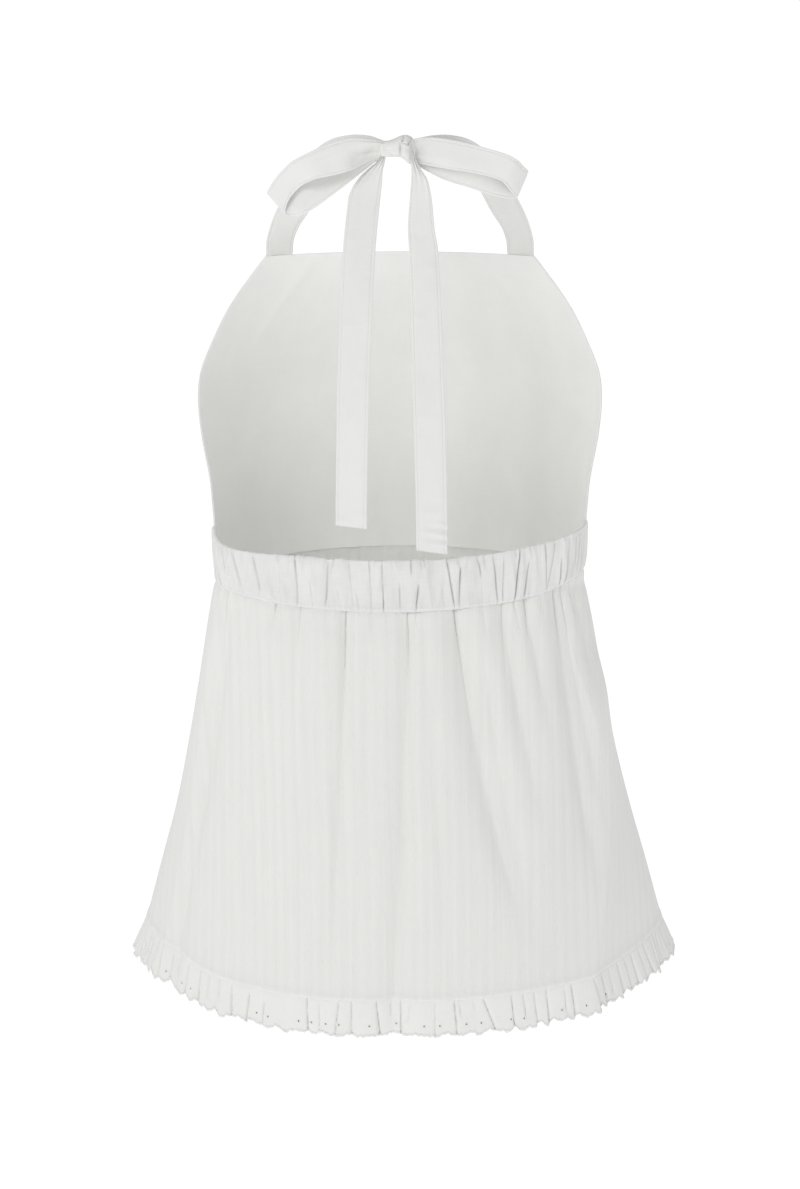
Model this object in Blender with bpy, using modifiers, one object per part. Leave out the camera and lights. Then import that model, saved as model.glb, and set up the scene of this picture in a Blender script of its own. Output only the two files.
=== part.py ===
"""Halter neck top: a tie-neck cotton top with an open back, a gathered back casing and a ruffled hem.

The top is filled out as if worn, with nobody in it. Metres, +Z up, +X to the wearer's left and -Y to
the front. The origin is on the nape, at the inner face of the neck knot, where the neck holds it up.
Run with: blender --background --python part.py
"""
from collections import namedtuple
import math
import random

import bmesh
import bpy
from mathutils import Vector

MM = 0.001
SEAM_GAP = 0.3 * MM

# The upright line that every ring is drawn round stands this far in front of the nape.
AXIS_Y = -62.0 * MM

# Cloth, as the thickness of a wall.
LINING_WALL = 1.0 * MM
SHELL_WALL = 1.1 * MM
SKIRT_WALL = 1.2 * MM
RUFFLE_WALL = 1.0 * MM
TIE_WALL = 1.2 * MM

# Columns and rows of each panel's grid.
BIB_COLUMNS, BIB_ROWS = 24, 12
SKIRT_BACK_COLUMNS, SKIRT_FRONT_COLUMNS, SKIRT_ROWS = 64, 48, 8
CASING_ROWS = 4
STRAP_SECTIONS = 24
LOOP_SECTIONS = 30
TAIL_SECTIONS = 14

# Cotton, plain and in its brighter and duller places.
SHELL_WHITE = (0.88, 0.88, 0.87)
LINING_WHITE = (0.80, 0.80, 0.80)
CASING_WHITE = (0.89, 0.89, 0.91)
RUFFLE_WHITE = (0.90, 0.90, 0.89)
COTTON_ROUGHNESS = 0.9

# The bib at rising depth below the nape, in millimetres: how far its side edge stands from the
# middle and in front of the axis, and how far the middle of the bib stands in front of the axis.
BibLevel = namedtuple("BibLevel", "height edge_x edge_front middle_front")
BIB_LEVELS = (
    BibLevel(-323.0, 134.0, 0.0, 117.5),
    BibLevel(-300.0, 134.6, 0.0, 118.2),
    BibLevel(-280.0, 135.8, 0.3, 119.2),
    BibLevel(-262.0, 137.2, 2.6, 121.0),
    BibLevel(-245.0, 139.0, 6.5, 122.5),
    BibLevel(-215.0, 144.8, 13.0, 126.0),
    BibLevel(-188.0, 147.5, 19.5, 127.0),
    BibLevel(-168.0, 145.6, 25.5, 123.5),
    BibLevel(-148.0, 137.8, 32.0, 116.0),
    BibLevel(-125.0, 126.4, 39.5, 104.0),
    BibLevel(-107.0, 114.2, 46.0, 92.5),
    BibLevel(-87.0, 98.8, 53.0, 82.0),
)

# Rings of the skirt's inner face, in millimetres from the axis; how far the ring's middle sways to
# the wearer's left; and how much the ring is drawn to a point at the side seams, from 0 for an ellipse.
Ring = namedtuple("Ring", "height half_width back_depth front_depth sway point")
RINGS = (
    Ring(-640.0, 212.0, 146.0, 156.0, -3.5, 0.30),
    Ring(-598.0, 200.4, 138.0, 149.0, -3.3, 0.28),
    Ring(-543.0, 185.3, 127.0, 142.0, -3.0, 0.23),
    Ring(-494.0, 171.5, 116.5, 136.0, -2.4, 0.18),
    Ring(-446.0, 160.3, 105.0, 130.0, -1.2, 0.13),
    Ring(-398.0, 151.0, 93.0, 124.5, -0.6, 0.08),
    Ring(-351.0, 142.6, 80.5, 119.5, -0.2, 0.02),
    Ring(-330.0, 138.0, 72.5, 118.0, 0.0, 0.0),
    Ring(-318.0, 134.8, 67.5, 117.5, 0.0, 0.0),
    Ring(-296.0, 135.6, 66.0, 118.0, 0.0, 0.0),
    Ring(-270.0, 135.6, 66.0, 119.5, 0.0, 0.0),
)

# Waist seam and casing top round the body: degrees from the middle of the back towards the wearer's
# left, and heights in millimetres. The right side of the casing sits a little higher.
Level = namedtuple("Level", "angle height")
WAIST_SEAM = (
    Level(-180, -323.0), Level(-130, -321.0), Level(-90, -312.0), Level(-69, -313.5), Level(-48, -319.5),
    Level(-32, -322.8), Level(0, -326.0), Level(32, -325.1), Level(58, -322.4), Level(90, -320.5),
    Level(130, -322.5), Level(180, -323.0),
)
CASING_TOP = (
    Level(-90, -275.5), Level(-69, -278.4), Level(-43, -283.4), Level(-24, -286.9), Level(0, -289.5),
    Level(35, -288.8), Level(58, -289.6), Level(69, -289.0), Level(80, -285.5), Level(90, -280.0),
)

# Creases of the gathered casing: degrees round the back at its top and bottom edges, and how far the
# cloth sinks there, from 0 to 1.
Crease = namedtuple("Crease", "top bottom depth")
CREASES = (
    Crease(-90, -90, 1.0), Crease(-81, -79, 0.6), Crease(-74, -71, 0.8), Crease(-66, -68, 0.9),
    Crease(-60, -61, 0.9), Crease(-53, -55, 0.7), Crease(-47, -53, 1.0), Crease(-41, -42, 0.8),
    Crease(-37, -34, 1.0), Crease(-28, -31, 1.0), Crease(-24, -26, 0.6), Crease(-16, -20, 0.9),
    Crease(-12, -16, 0.7), Crease(-6, -5, 0.9), Crease(1, 0, 1.0), Crease(6, 5, 1.0),
    Crease(9, 9, 1.0), Crease(14, 12, 0.7), Crease(18, 16, 0.6), Crease(23, 23, 1.0),
    Crease(28, 27, 0.6), Crease(33, 34, 0.9), Crease(41, 40, 0.4), Crease(51, 49, 0.9),
    Crease(63, 60, 1.0), Crease(71, 70, 0.6), Crease(80, 79, 0.6), Crease(90, 90, 1.0),
)
CASING_WALL = 1.3 * MM
GATHER_RISE = 2.6 * MM
GATHER_STEPS = ((0.0, 0.0), (0.2, 0.8), (0.5, 1.0), (0.8, 0.8))
EDGE_RISE = 0.45

# Folds that fall from the waist: degrees round the body at the waist and at the hem, depth and half
# width of the trough in millimetres, and the share of the drop over which it shows. A fold comes in
# over a short share of the drop and fades over a longer one. None shows close to the side seams.
Fold = namedtuple("Fold", "waist hem depth half_width start end")
BACK_FOLDS = (
    Fold(64, 58, 3.0, 12.0, 0.02, 0.85),
    Fold(48, 44, 2.0, 11.0, 0.02, 0.55),
    Fold(31, 30, 2.5, 10.0, 0.00, 0.45),
    Fold(16, 12, 4.0, 12.0, 0.00, 1.30),
    Fold(-2, 1, 6.0, 14.0, 0.00, 1.60),
    Fold(-16, -29, 5.0, 14.0, 0.00, 1.25),
    Fold(-31, -33, 3.5, 11.0, 0.00, 0.60),
    Fold(-42, -46, 3.0, 11.0, 0.00, 0.60),
    Fold(-54, -49, 5.0, 13.0, 0.00, 1.20),
    Fold(-70, -66, 3.0, 12.0, 0.00, 1.00),
)
FRONT_FOLDS = (
    Fold(-150, -148, 4.0, 16.0, 0.10, 1.50),
    Fold(-172, -170, 2.5, 18.0, 0.20, 1.30),
    Fold(166, 168, 4.0, 17.0, 0.10, 1.50),
    Fold(146, 142, 3.5, 15.0, 0.10, 1.40),
    Fold(120, 122, 3.0, 15.0, 0.15, 1.40),
    Fold(-124, -126, 3.0, 15.0, 0.15, 1.30),
)
FOLD_BEFORE, FOLD_AFTER = 0.12, 0.08
FOLD_FADE = 0.4
SIDE_CALM = 16.0

# The share of the skirt's drop, at the waist seam, that stands upright to meet the casing squarely.
SEAM_STRIP = 0.012

# Half the turn, in radians, over which a ring's own direction is measured.
TURN_STEP = 0.01

# Hem line round the body, as the waist seam's, and the ruffle below it. Each half has the same waves,
# uneven in width and height by these shares.
HEM = (
    Level(-180, -598.0), Level(-138, -598.0), Level(-125, -593.5), Level(-112, -588.7), Level(-90, -588.0),
    Level(-77, -586.8), Level(-57, -591.3), Level(-45, -594.0), Level(-20, -595.8), Level(0, -597.3),
    Level(20, -598.0), Level(42, -597.3), Level(55, -592.7), Level(68, -588.3), Level(90, -587.2),
    Level(112, -588.5), Level(125, -593.5), Level(138, -598.0), Level(180, -598.0),
)
RUFFLE_DROP = 26.5 * MM
RUFFLE_FLARE = 3.0 * MM
RUFFLE_SIDE_FLARE = 7.0 * MM
RUFFLE_WAVES = 40
RUFFLE_WAVE_TOP = 0.7 * MM
RUFFLE_WAVE_BOTTOM = 3.0 * MM
WAVE_WIDTH_SPREAD = 0.5
WAVE_HEIGHT_SPREAD = 0.25
WAVE_SEED = 11
WAVE_STEPS = ((0.0, 0.0), (0.25, 1.0), (0.5, 0.0), (0.75, -1.0))

# Ties: a rung is a place on the middle line, the way across the tie there, and its width, all in
# millimetres. A tie narrows where the knot pinches it.
TIE_WIDTH = 22.5
KNOT_LEFT = 13.1
KNOT_RIGHT = -9.7
Rung = namedtuple("Rung", "x y z across width")
STRAP = (
    Rung(21.0, -4.6, -0.3, (0.0, 0.0, 1.0), 19.5),
    Rung(33.0, -15.0, -1.8, (0.03, 0.0, 1.0), 22.0),
    Rung(46.0, -34.0, -6.3, (0.16, 0.0, 1.0), TIE_WIDTH),
    Rung(56.5, -56.0, -15.5, (0.36, -0.05, 0.9), TIE_WIDTH),
    Rung(66.0, -77.0, -29.0, (0.60, -0.10, 0.75), TIE_WIDTH),
    Rung(75.0, -95.5, -46.0, (0.82, -0.05, 0.50), TIE_WIDTH),
    Rung(83.0, -108.5, -62.0, (0.92, 0.15, 0.28), TIE_WIDTH),
    Rung(87.6, -116.0, -75.0, (0.93, 0.30, 0.10), TIE_WIDTH),
)
STRAP_SIDE = 0.878
STRAP_FOOT = 0.85
NAPE = Rung(0.0, 1.5, 0.3, (0.0, 0.0, 1.0), 14.0)
LOOP_LEFT = (
    Rung(KNOT_LEFT, 9.5, 2.6, (0.0, 0.0, 1.0), 11.5),
    Rung(24.5, 15.0, -2.5, (0.05, -0.2, 1.0), 16.5),
    Rung(41.5, 20.0, -6.0, (0.12, -0.35, 0.95), 21.0),
    Rung(60.0, 19.5, -10.0, (0.25, -0.38, 0.92), TIE_WIDTH),
    Rung(71.5, 15.0, -16.0, (0.42, -0.38, 0.86), TIE_WIDTH),
    Rung(80.0, 9.0, -25.5, (0.58, -0.25, 0.80), TIE_WIDTH),
    Rung(84.0, 1.5, -35.5, (0.69, 0.0, 0.72), TIE_WIDTH),
    Rung(77.0, -5.0, -35.0, (0.50, 0.1, 0.87), TIE_WIDTH),
    Rung(62.0, -4.0, -27.5, (0.45, 0.0, 0.90), TIE_WIDTH),
    Rung(46.0, 1.0, -18.5, (0.42, 0.0, 0.90), 21.0),
    Rung(29.0, 5.0, -8.0, (0.30, 0.0, 0.95), 16.0),
    Rung(KNOT_LEFT, 6.0, 0.5, (0.0, 0.0, 1.0), 11.5),
)
LOOP_RIGHT = (
    Rung(KNOT_RIGHT, 9.5, 0.5, (0.0, 0.0, 1.0), 17.0),
    Rung(-20.5, 15.0, 0.3, (0.0, -0.2, 1.0), 19.5),
    Rung(-34.0, 19.5, -1.2, (-0.10, -0.38, 0.93), 22.0),
    Rung(-48.0, 20.0, -4.4, (-0.20, -0.42, 0.90), TIE_WIDTH),
    Rung(-63.0, 16.5, -9.0, (-0.30, -0.42, 0.87), TIE_WIDTH),
    Rung(-75.0, 10.5, -15.0, (-0.38, -0.30, 0.90), TIE_WIDTH),
    Rung(-83.5, 1.5, -22.5, (-0.40, 0.0, 0.91), TIE_WIDTH),
    Rung(-76.5, -6.0, -23.0, (-0.30, 0.1, 0.95), TIE_WIDTH),
    Rung(-64.0, -7.0, -19.3, (-0.25, 0.0, 0.97), TIE_WIDTH),
    Rung(-50.0, -4.0, -14.4, (-0.25, 0.0, 0.97), TIE_WIDTH),
    Rung(-33.5, 1.0, -9.3, (-0.22, 0.0, 0.97), 21.0),
    Rung(-18.5, 4.5, -4.0, (-0.10, 0.0, 1.0), 17.5),
    Rung(KNOT_RIGHT, 6.0, -1.0, (0.0, 0.0, 1.0), 14.0),
)
TAIL_LEFT = (
    Rung(12.6, 4.4, -6.8, (1.0, 0.0, 0.0), 4.0),
    Rung(16.6, 2.8, -13.0, (1.0, 0.0, 0.15), 9.0),
    Rung(20.4, 2.0, -20.0, (1.0, 0.0, 0.1), 16.0),
    Rung(23.9, 2.6, -30.0, (1.0, 0.0, 0.08), 21.3),
    Rung(25.6, 4.2, -42.0, (1.0, 0.0, 0.05), 22.2),
    Rung(28.3, 8.0, -70.0, (1.0, -0.03, 0.05), TIE_WIDTH),
    Rung(30.5, 13.0, -112.0, (1.0, -0.08, 0.05), TIE_WIDTH),
    Rung(32.4, 16.0, -160.0, (1.0, -0.12, 0.05), TIE_WIDTH),
    Rung(33.7, 16.0, -215.0, (1.0, -0.12, 0.07), TIE_WIDTH),
    Rung(34.5, 13.5, -262.0, (1.0, -0.10, 0.10), TIE_WIDTH),
)
TAIL_RIGHT = (
    Rung(-10.8, 11.8, -11.4, (1.0, 0.0, 0.4), 6.5),
    Rung(-12.0, 12.6, -16.5, (1.0, 0.0, 0.35), 10.0),
    Rung(-13.2, 12.8, -22.0, (1.0, 0.0, 0.3), 14.0),
    Rung(-14.8, 12.6, -34.0, (1.0, 0.0, 0.15), 17.0),
    Rung(-15.0, 13.0, -54.0, (1.0, 0.05, 0.08), 19.5),
    Rung(-16.4, 14.0, -70.0, (1.0, 0.08, 0.08), 20.5),
    Rung(-18.5, 17.0, -120.0, (1.0, 0.10, 0.08), 21.5),
    Rung(-20.5, 18.5, -180.0, (1.0, 0.10, 0.10), TIE_WIDTH),
    Rung(-22.0, 17.0, -235.0, (1.0, 0.08, 0.12), TIE_WIDTH),
    Rung(-22.6, 15.0, -280.0, (1.0, 0.06, 0.16), TIE_WIDTH),
)

# Knot: a soft lump of three upright squares from left to right; the wrap stands up at its right.
KNOT_CREASE = 0.35
KNOT_LEVELS = 2
KnotSquare = namedtuple("KnotSquare", "x depth low high")
KNOT_SQUARES = (
    KnotSquare(12.4, 11.0, -5.6, 8.4),
    KnotSquare(4.0, 15.0, -7.6, 8.6),
    KnotSquare(-2.5, 16.5, -10.8, 12.2),
    KnotSquare(-9.0, 13.0, -10.4, 11.4),
)


def smooth(rows, at):
    """The row of a table at a place between its rows, on a smooth curve through them all."""
    rows = sorted(rows)
    at = min(max(at, rows[0][0]), rows[-1][0])
    last = max(i for i in range(len(rows) - 1) if rows[i][0] <= at)
    before, start = rows[max(last - 1, 0)], rows[last]
    end, after = rows[last + 1], rows[min(last + 2, len(rows) - 1)]
    step = end[0] - start[0]
    share = (at - start[0]) / step
    values = []
    for column in range(1, len(start)):
        slope_in = (end[column] - before[column]) / (end[0] - before[0]) * step
        slope_out = (after[column] - start[column]) / (after[0] - start[0]) * step
        rise = end[column] - start[column]
        bend = share * share * (3 - 2 * share) * rise
        bend += share * (1 - share) ** 2 * slope_in - share * share * (1 - share) * slope_out
        values.append(start[column] + bend)
    return values


def ramp(value, low, high):
    """0 below low, 1 above high, and a smooth rise between them."""
    share = min(max((value - low) / (high - low), 0.0), 1.0)
    return share * share * (3 - 2 * share)


def bib_point(height, side):
    """A point on the bib's inner face: side runs from -1 at its right edge to 1 at its left."""
    edge_x, edge_front, middle_front = smooth(BIB_LEVELS, height)
    half_width = edge_x / math.sqrt(1 - (edge_front / middle_front) ** 2)
    angle = side * math.atan2(edge_x / half_width, edge_front / middle_front)
    x = half_width * math.sin(angle) * MM
    y = AXIS_Y - middle_front * math.cos(angle) * MM
    return Vector((x, y, height * MM))


def flat_ring(ring, turn):
    """A point of one ring about the axis, in millimetres; turn is in radians."""
    half_width, back_depth, front_depth, sway, point = ring
    depth = back_depth if math.cos(turn) > 0 else front_depth
    y = depth * math.cos(turn) * (1 - point * math.sin(turn) ** 4)
    return Vector((half_width * math.sin(turn) + sway, y, 0))


def ring_point(height, angle, out=0.0):
    """A point on the body's ring at a height in metres, moved out; angle is in degrees."""
    ring = smooth(RINGS, height / MM)
    turn = math.radians(angle)
    along = flat_ring(ring, turn + TURN_STEP) - flat_ring(ring, turn - TURN_STEP)
    facing = Vector((-along.y, along.x, 0)).normalized()
    return flat_ring(ring, turn) * MM + facing * out + Vector((0, AXIS_Y, height))


# A ring's two depths, as places in what smooth() returns for RINGS.
BACK_DEPTH, FRONT_DEPTH, POINT = 1, 2, 4


def waist_height(angle):
    return smooth(WAIST_SEAM, angle)[0] * MM


def hem_height(angle):
    return smooth(HEM, angle)[0] * MM


def fold_depth(angle, share):
    """How far the skirt stands in (below 0) at a place round it and down it."""
    depth = 0.0
    for fold in BACK_FOLDS + FRONT_FOLDS:
        middle = fold.waist + (fold.hem - fold.waist) * share
        height = waist_height(middle) + (hem_height(middle) - waist_height(middle)) * share
        away = (ring_point(height, angle) - ring_point(height, middle)).length / MM
        shown = ramp(share, fold.start - FOLD_BEFORE, fold.start + FOLD_AFTER)
        shown *= 1 - ramp(share, fold.end - FOLD_FADE, fold.end)
        depth -= fold.depth * shown * math.exp(-((away / fold.half_width) ** 2))
    calm = ramp(abs(90 - abs(angle)), 0.0, SIDE_CALM)
    return depth * calm * MM


def skirt_point(angle, share):
    """A point on the skirt's inner face; a narrow strip at its top edge stands upright."""
    top = waist_height(angle) - SEAM_GAP / 2
    drop = hem_height(angle) - top
    level = max(share - SEAM_STRIP, 0.0) / (1 - SEAM_STRIP)
    point = ring_point(top + drop * level, angle, fold_depth(angle, level))
    point.z = top + drop * share
    return point


def ruffle_point(angle, share, wave):
    """A point on the ruffle: share runs down it, and wave is -1 in a trough and 1 on a crest."""
    top = hem_height(angle) - SEAM_GAP
    side = abs(math.sin(math.radians(angle)))
    out = share * (RUFFLE_FLARE + RUFFLE_SIDE_FLARE * side ** 4)
    out += wave * (RUFFLE_WAVE_TOP + (RUFFLE_WAVE_BOTTOM - RUFFLE_WAVE_TOP) * share)
    at_hem = skirt_point(angle, 1.0)
    facing = ring_point(hem_height(angle), angle, 1.0) - ring_point(hem_height(angle), angle)
    return Vector((at_hem.x, at_hem.y, top - RUFFLE_DROP * share)) + facing * out


def moved_out(rows, distance):
    """The same grid of points, each moved along the surface's normal."""
    moved = []
    for r, row in enumerate(rows):
        above, below = rows[min(r + 1, len(rows) - 1)], rows[max(r - 1, 0)]
        line = []
        for c, point in enumerate(row):
            along = row[min(c + 1, len(row) - 1)] - row[max(c - 1, 0)]
            normal = along.cross(above[c] - below[c]).normalized()
            line.append(point + normal * distance)
        moved.append(line)
    return moved


def finish(name, mesh, colour):
    """The object of a mesh, in the top's collection, with its own cloth material."""
    material = bpy.data.materials.new(name + "_cloth")
    material.use_nodes = True
    shader = material.node_tree.nodes["Principled BSDF"]
    shader.inputs["Base Color"].default_value = (*colour, 1.0)
    shader.inputs["Roughness"].default_value = COTTON_ROUGHNESS
    shader.inputs["Metallic"].default_value = 0.0
    mesh.materials.append(material)
    mesh.shade_smooth()
    piece = bpy.data.objects.new(name, mesh)
    bpy.data.collections["halter_neck_top"].objects.link(piece)
    return piece


def grid_mesh(name, rows):
    """An open surface through rows of points: rows run upwards, and points run so that it faces out."""
    wide = len(rows[0])
    points = [point for row in rows for point in row]
    faces = []
    for r in range(len(rows) - 1):
        for c in range(wide - 1):
            first = r * wide + c
            faces.append((first, first + 1, first + wide + 1, first + wide))
    mesh = bpy.data.meshes.new(name)
    mesh.from_pydata(points, [], faces)
    return mesh


def cloth(name, rows, wall, colour):
    """A panel of cloth: a surface given its wall on its outer side."""
    piece = finish(name, grid_mesh(name, rows), colour)
    solid = piece.modifiers.new("wall", "SOLIDIFY")
    solid.thickness = wall
    solid.offset = 1.0
    solid.use_even_offset = True
    return piece


def bib_rows():
    high = BIB_LEVELS[-1].height
    rows = []
    for r in range(BIB_ROWS + 1):
        share = r / BIB_ROWS
        row = []
        for c in range(BIB_COLUMNS + 1):
            side = -1 + 2 * c / BIB_COLUMNS
            seam = (waist_height(math.copysign(180, side) - 90 * side) + SEAM_GAP / 2) / MM
            row.append(bib_point(seam + (high - seam) * share, side))
        rows.append(row)
    return rows


def make_bib():
    inner = bib_rows()
    cloth("bib_lining", inner, LINING_WALL, LINING_WHITE)
    cloth("front_bib", moved_out(inner, LINING_WALL + SEAM_GAP), SHELL_WALL, SHELL_WHITE)


def half_turn(height, gap, depth_column):
    """Degrees from the middle of the back or front to its side seam, less a gap in metres."""
    ring = smooth(RINGS, height / MM)
    return 90 - math.degrees(gap / (ring[depth_column] * (1 - ring[POINT]) * MM))


def make_skirt():
    for name, middle, columns, depth_column in (
        ("skirt_back", 0.0, SKIRT_BACK_COLUMNS, BACK_DEPTH),
        ("skirt_front", 180.0, SKIRT_FRONT_COLUMNS, FRONT_DEPTH),
    ):
        rows = []
        for share in [1 - r / SKIRT_ROWS for r in range(SKIRT_ROWS)] + [SEAM_STRIP, 0.0]:
            side_height = waist_height(90) + (hem_height(90) - waist_height(90)) * share
            turn = half_turn(side_height, SEAM_GAP / 2, depth_column)
            row = []
            for c in range(columns + 1):
                angle = middle - turn + 2 * turn * c / columns
                row.append(skirt_point((angle + 180) % 360 - 180, share))
            rows.append(row[::-1])
        cloth(name, rows, SKIRT_WALL, SHELL_WHITE)


def casing_columns():
    """For each column of the casing: its angle at the bottom and top edges, and its rise from 0 to 1."""
    columns = []
    for near, far in zip(CREASES, CREASES[1:]):
        for share, rise in GATHER_STEPS:
            shallow = (1 - near.depth) * (1 - share) + (1 - far.depth) * share
            bottom = near.bottom + (far.bottom - near.bottom) * share
            top = near.top + (far.top - near.top) * share
            columns.append((bottom, top, rise + shallow * (1 - rise)))
    last = CREASES[-1]
    columns.append((last.bottom, last.top, 1 - last.depth))
    return columns


def make_casing():
    """The casing's inner face is plain, and the gathers stand in its outer face."""
    turn_scale = half_turn(waist_height(90), SEAM_GAP, BACK_DEPTH) / 90
    inner, outer = [], []
    for r in range(CASING_ROWS + 1):
        share = r / CASING_ROWS
        puff = EDGE_RISE + (1 - EDGE_RISE) * math.sin(math.pi * share)
        inner_row, outer_row = [], []
        for bottom, top, rise in casing_columns():
            angle = (bottom + (top - bottom) * share) * turn_scale
            low = waist_height(angle) + SEAM_GAP / 2
            high = smooth(CASING_TOP, angle)[0] * MM
            height = low + (high - low) * share
            inner_row.append(ring_point(height, angle))
            outer_row.append(ring_point(height, angle, CASING_WALL + GATHER_RISE * rise * puff))
        inner.append(inner_row[::-1])
        outer.append(outer_row[::-1])
    mesh = bpy.data.meshes.new("back_casing")
    shell = bmesh.new()
    walls = []
    for rows in (outer, inner):
        walls.append([[shell.verts.new(point) for point in row] for row in rows])
    skin_wall, plain_wall = walls
    tall, wide = len(outer), len(outer[0])
    for r in range(tall - 1):
        for c in range(wide - 1):
            shell.faces.new([skin_wall[i][j] for i, j in ((r, c), (r, c + 1), (r + 1, c + 1), (r + 1, c))])
            shell.faces.new([plain_wall[i][j] for i, j in ((r, c), (r + 1, c), (r + 1, c + 1), (r, c + 1))])
    round_edge = [(0, c) for c in range(wide)] + [(r, wide - 1) for r in range(1, tall)]
    round_edge += [(tall - 1, c) for c in range(wide - 2, -1, -1)] + [(r, 0) for r in range(tall - 2, 0, -1)]
    for (r, c), (next_r, next_c) in zip(round_edge, round_edge[1:] + round_edge[:1]):
        edge = (skin_wall[r][c], plain_wall[r][c], plain_wall[next_r][next_c], skin_wall[next_r][next_c])
        shell.faces.new(edge)
    shell.to_mesh(mesh)
    shell.free()
    finish("back_casing", mesh, CASING_WHITE)


def ruffle_columns():
    """Share round half the hem and wave height of each column; the waves are uneven in width and height."""
    uneven = random.Random(WAVE_SEED)
    columns, start = [], 0.0
    for _ in range(RUFFLE_WAVES):
        width = uneven.uniform(1 - WAVE_WIDTH_SPREAD, 1 + WAVE_WIDTH_SPREAD)
        tall = uneven.uniform(1 - WAVE_HEIGHT_SPREAD, 1 + WAVE_HEIGHT_SPREAD)
        for share, wave in WAVE_STEPS:
            columns.append((start + width * share, wave * tall))
        start += width
    columns.append((start, 0.0))
    return [(place / start, wave) for place, wave in columns]


def make_ruffles():
    for name, middle, depth_column in (
        ("ruffle_back", 0.0, BACK_DEPTH),
        ("ruffle_front", 180.0, FRONT_DEPTH),
    ):
        turn = half_turn(hem_height(90), SEAM_GAP / 2, depth_column)
        rows = []
        for share in (1.0, 0.0):
            row = []
            for place, wave in ruffle_columns():
                angle = middle - turn + 2 * turn * place
                row.append(ruffle_point((angle + 180) % 360 - 180, share, wave))
            rows.append(row[::-1])
        cloth(name, rows, RUFFLE_WALL, RUFFLE_WHITE)


def tie_sections(rungs, count):
    """Evenly shared places along a tie, each with its middle, its way across and its width."""
    table = [(i, r.x, r.y, r.z, *r.across, r.width) for i, r in enumerate(rungs)]
    sections = []
    for s in range(count + 1):
        x, y, z, across_x, across_y, across_z, width = smooth(table, s / count * (len(rungs) - 1))
        sections.append((Vector((x, y, z)) * MM, Vector((across_x, across_y, across_z)), width * MM))
    return sections


def make_tie(name, rungs, count):
    """A flat tie swept along its rungs, square across its own middle line."""
    sections = tie_sections(rungs, count)
    rows = []
    for s, (middle, across, width) in enumerate(sections):
        along = (sections[min(s + 1, count)][0] - sections[max(s - 1, 0)][0]).normalized()
        square = across - along * across.dot(along)
        if s in (0, count):
            square = across
        half = square.normalized() * width / 2
        rows.append([middle - half, middle, middle + half])
    piece = finish(name, grid_mesh(name, rows), SHELL_WHITE)
    solid = piece.modifiers.new("wall", "SOLIDIFY")
    solid.thickness = TIE_WALL
    solid.offset = 0.0
    solid.use_even_offset = True


def make_knot():
    """The knot's cage is a row of squares, which Subdivision Surface rounds off."""
    cage = bmesh.new()
    rings = []
    for square in KNOT_SQUARES:
        x, far, low, high = square.x * MM, square.depth * MM, square.low * MM, square.high * MM
        corners = ((x, 0.0, low), (x, 0.0, high), (x, far, high), (x, far, low))
        rings.append([cage.verts.new(corner) for corner in corners])
    cage.faces.new(rings[0][::-1])
    cage.faces.new(rings[-1])
    for ring, following in zip(rings, rings[1:]):
        for i in range(4):
            following_i = (i + 1) % 4
            cage.faces.new((ring[i], ring[following_i], following[following_i], following[i]))
    bmesh.ops.recalc_face_normals(cage, faces=cage.faces)
    crease = cage.edges.layers.float.new("crease_edge")
    for edge in cage.edges:
        edge[crease] = KNOT_CREASE
    mesh = bpy.data.meshes.new("bow_knot")
    cage.to_mesh(mesh)
    cage.free()
    knot = finish("bow_knot", mesh, SHELL_WHITE)
    round_off = knot.modifiers.new("round", "SUBSURF")
    round_off.levels = KNOT_LEVELS
    round_off.render_levels = KNOT_LEVELS


def strap_rungs(start):
    """The strap's rungs, from the knot at x = start to a foot that stands on the bib's top edge."""
    top = BIB_LEVELS[-1].height
    foot = bib_point(top, STRAP_SIDE)
    across = bib_point(top, 1.0) - bib_point(top, 2 * STRAP_SIDE - 1.0)
    out = Vector((across.y, -across.x, 0)).normalized()
    foot += out * (LINING_WALL + SEAM_GAP + SHELL_WALL) / 2
    foot.z += STRAP_FOOT * MM + SEAM_GAP
    return (NAPE._replace(x=start),) + STRAP + (Rung(*(foot / MM), tuple(across / across.length), TIE_WIDTH),)


def mirrored(rungs):
    return tuple(r._replace(x=-r.x, across=(-r.across[0], r.across[1], r.across[2])) for r in rungs)


def main():
    for old in list(bpy.data.objects):
        bpy.data.objects.remove(old)
    bpy.context.scene.collection.children.link(bpy.data.collections.new("halter_neck_top"))
    make_bib()
    make_casing()
    make_skirt()
    make_ruffles()
    make_tie("strap_left", strap_rungs(KNOT_LEFT), STRAP_SECTIONS)
    make_tie("strap_right", mirrored(strap_rungs(-KNOT_RIGHT)), STRAP_SECTIONS)
    make_tie("bow_loop_left", LOOP_LEFT, LOOP_SECTIONS)
    make_tie("bow_loop_right", LOOP_RIGHT, LOOP_SECTIONS)
    make_tie("tail_left", TAIL_LEFT, TAIL_SECTIONS)
    make_tie("tail_right", TAIL_RIGHT, TAIL_SECTIONS)
    make_knot()


main()
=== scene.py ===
# %% [markdown]
# # A halter neck top in white cotton
# The top is filled out as if someone wore it, and is looked at from behind: a bow at the nape, an open
# back, a casing gathered over elastic, a flared skirt and a narrow eyelet ruffle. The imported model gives
# the frame: where each piece is and how big it is. Here each piece is made again as thin, soft cloth.

# %% Load the frame
import math
import random

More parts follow.
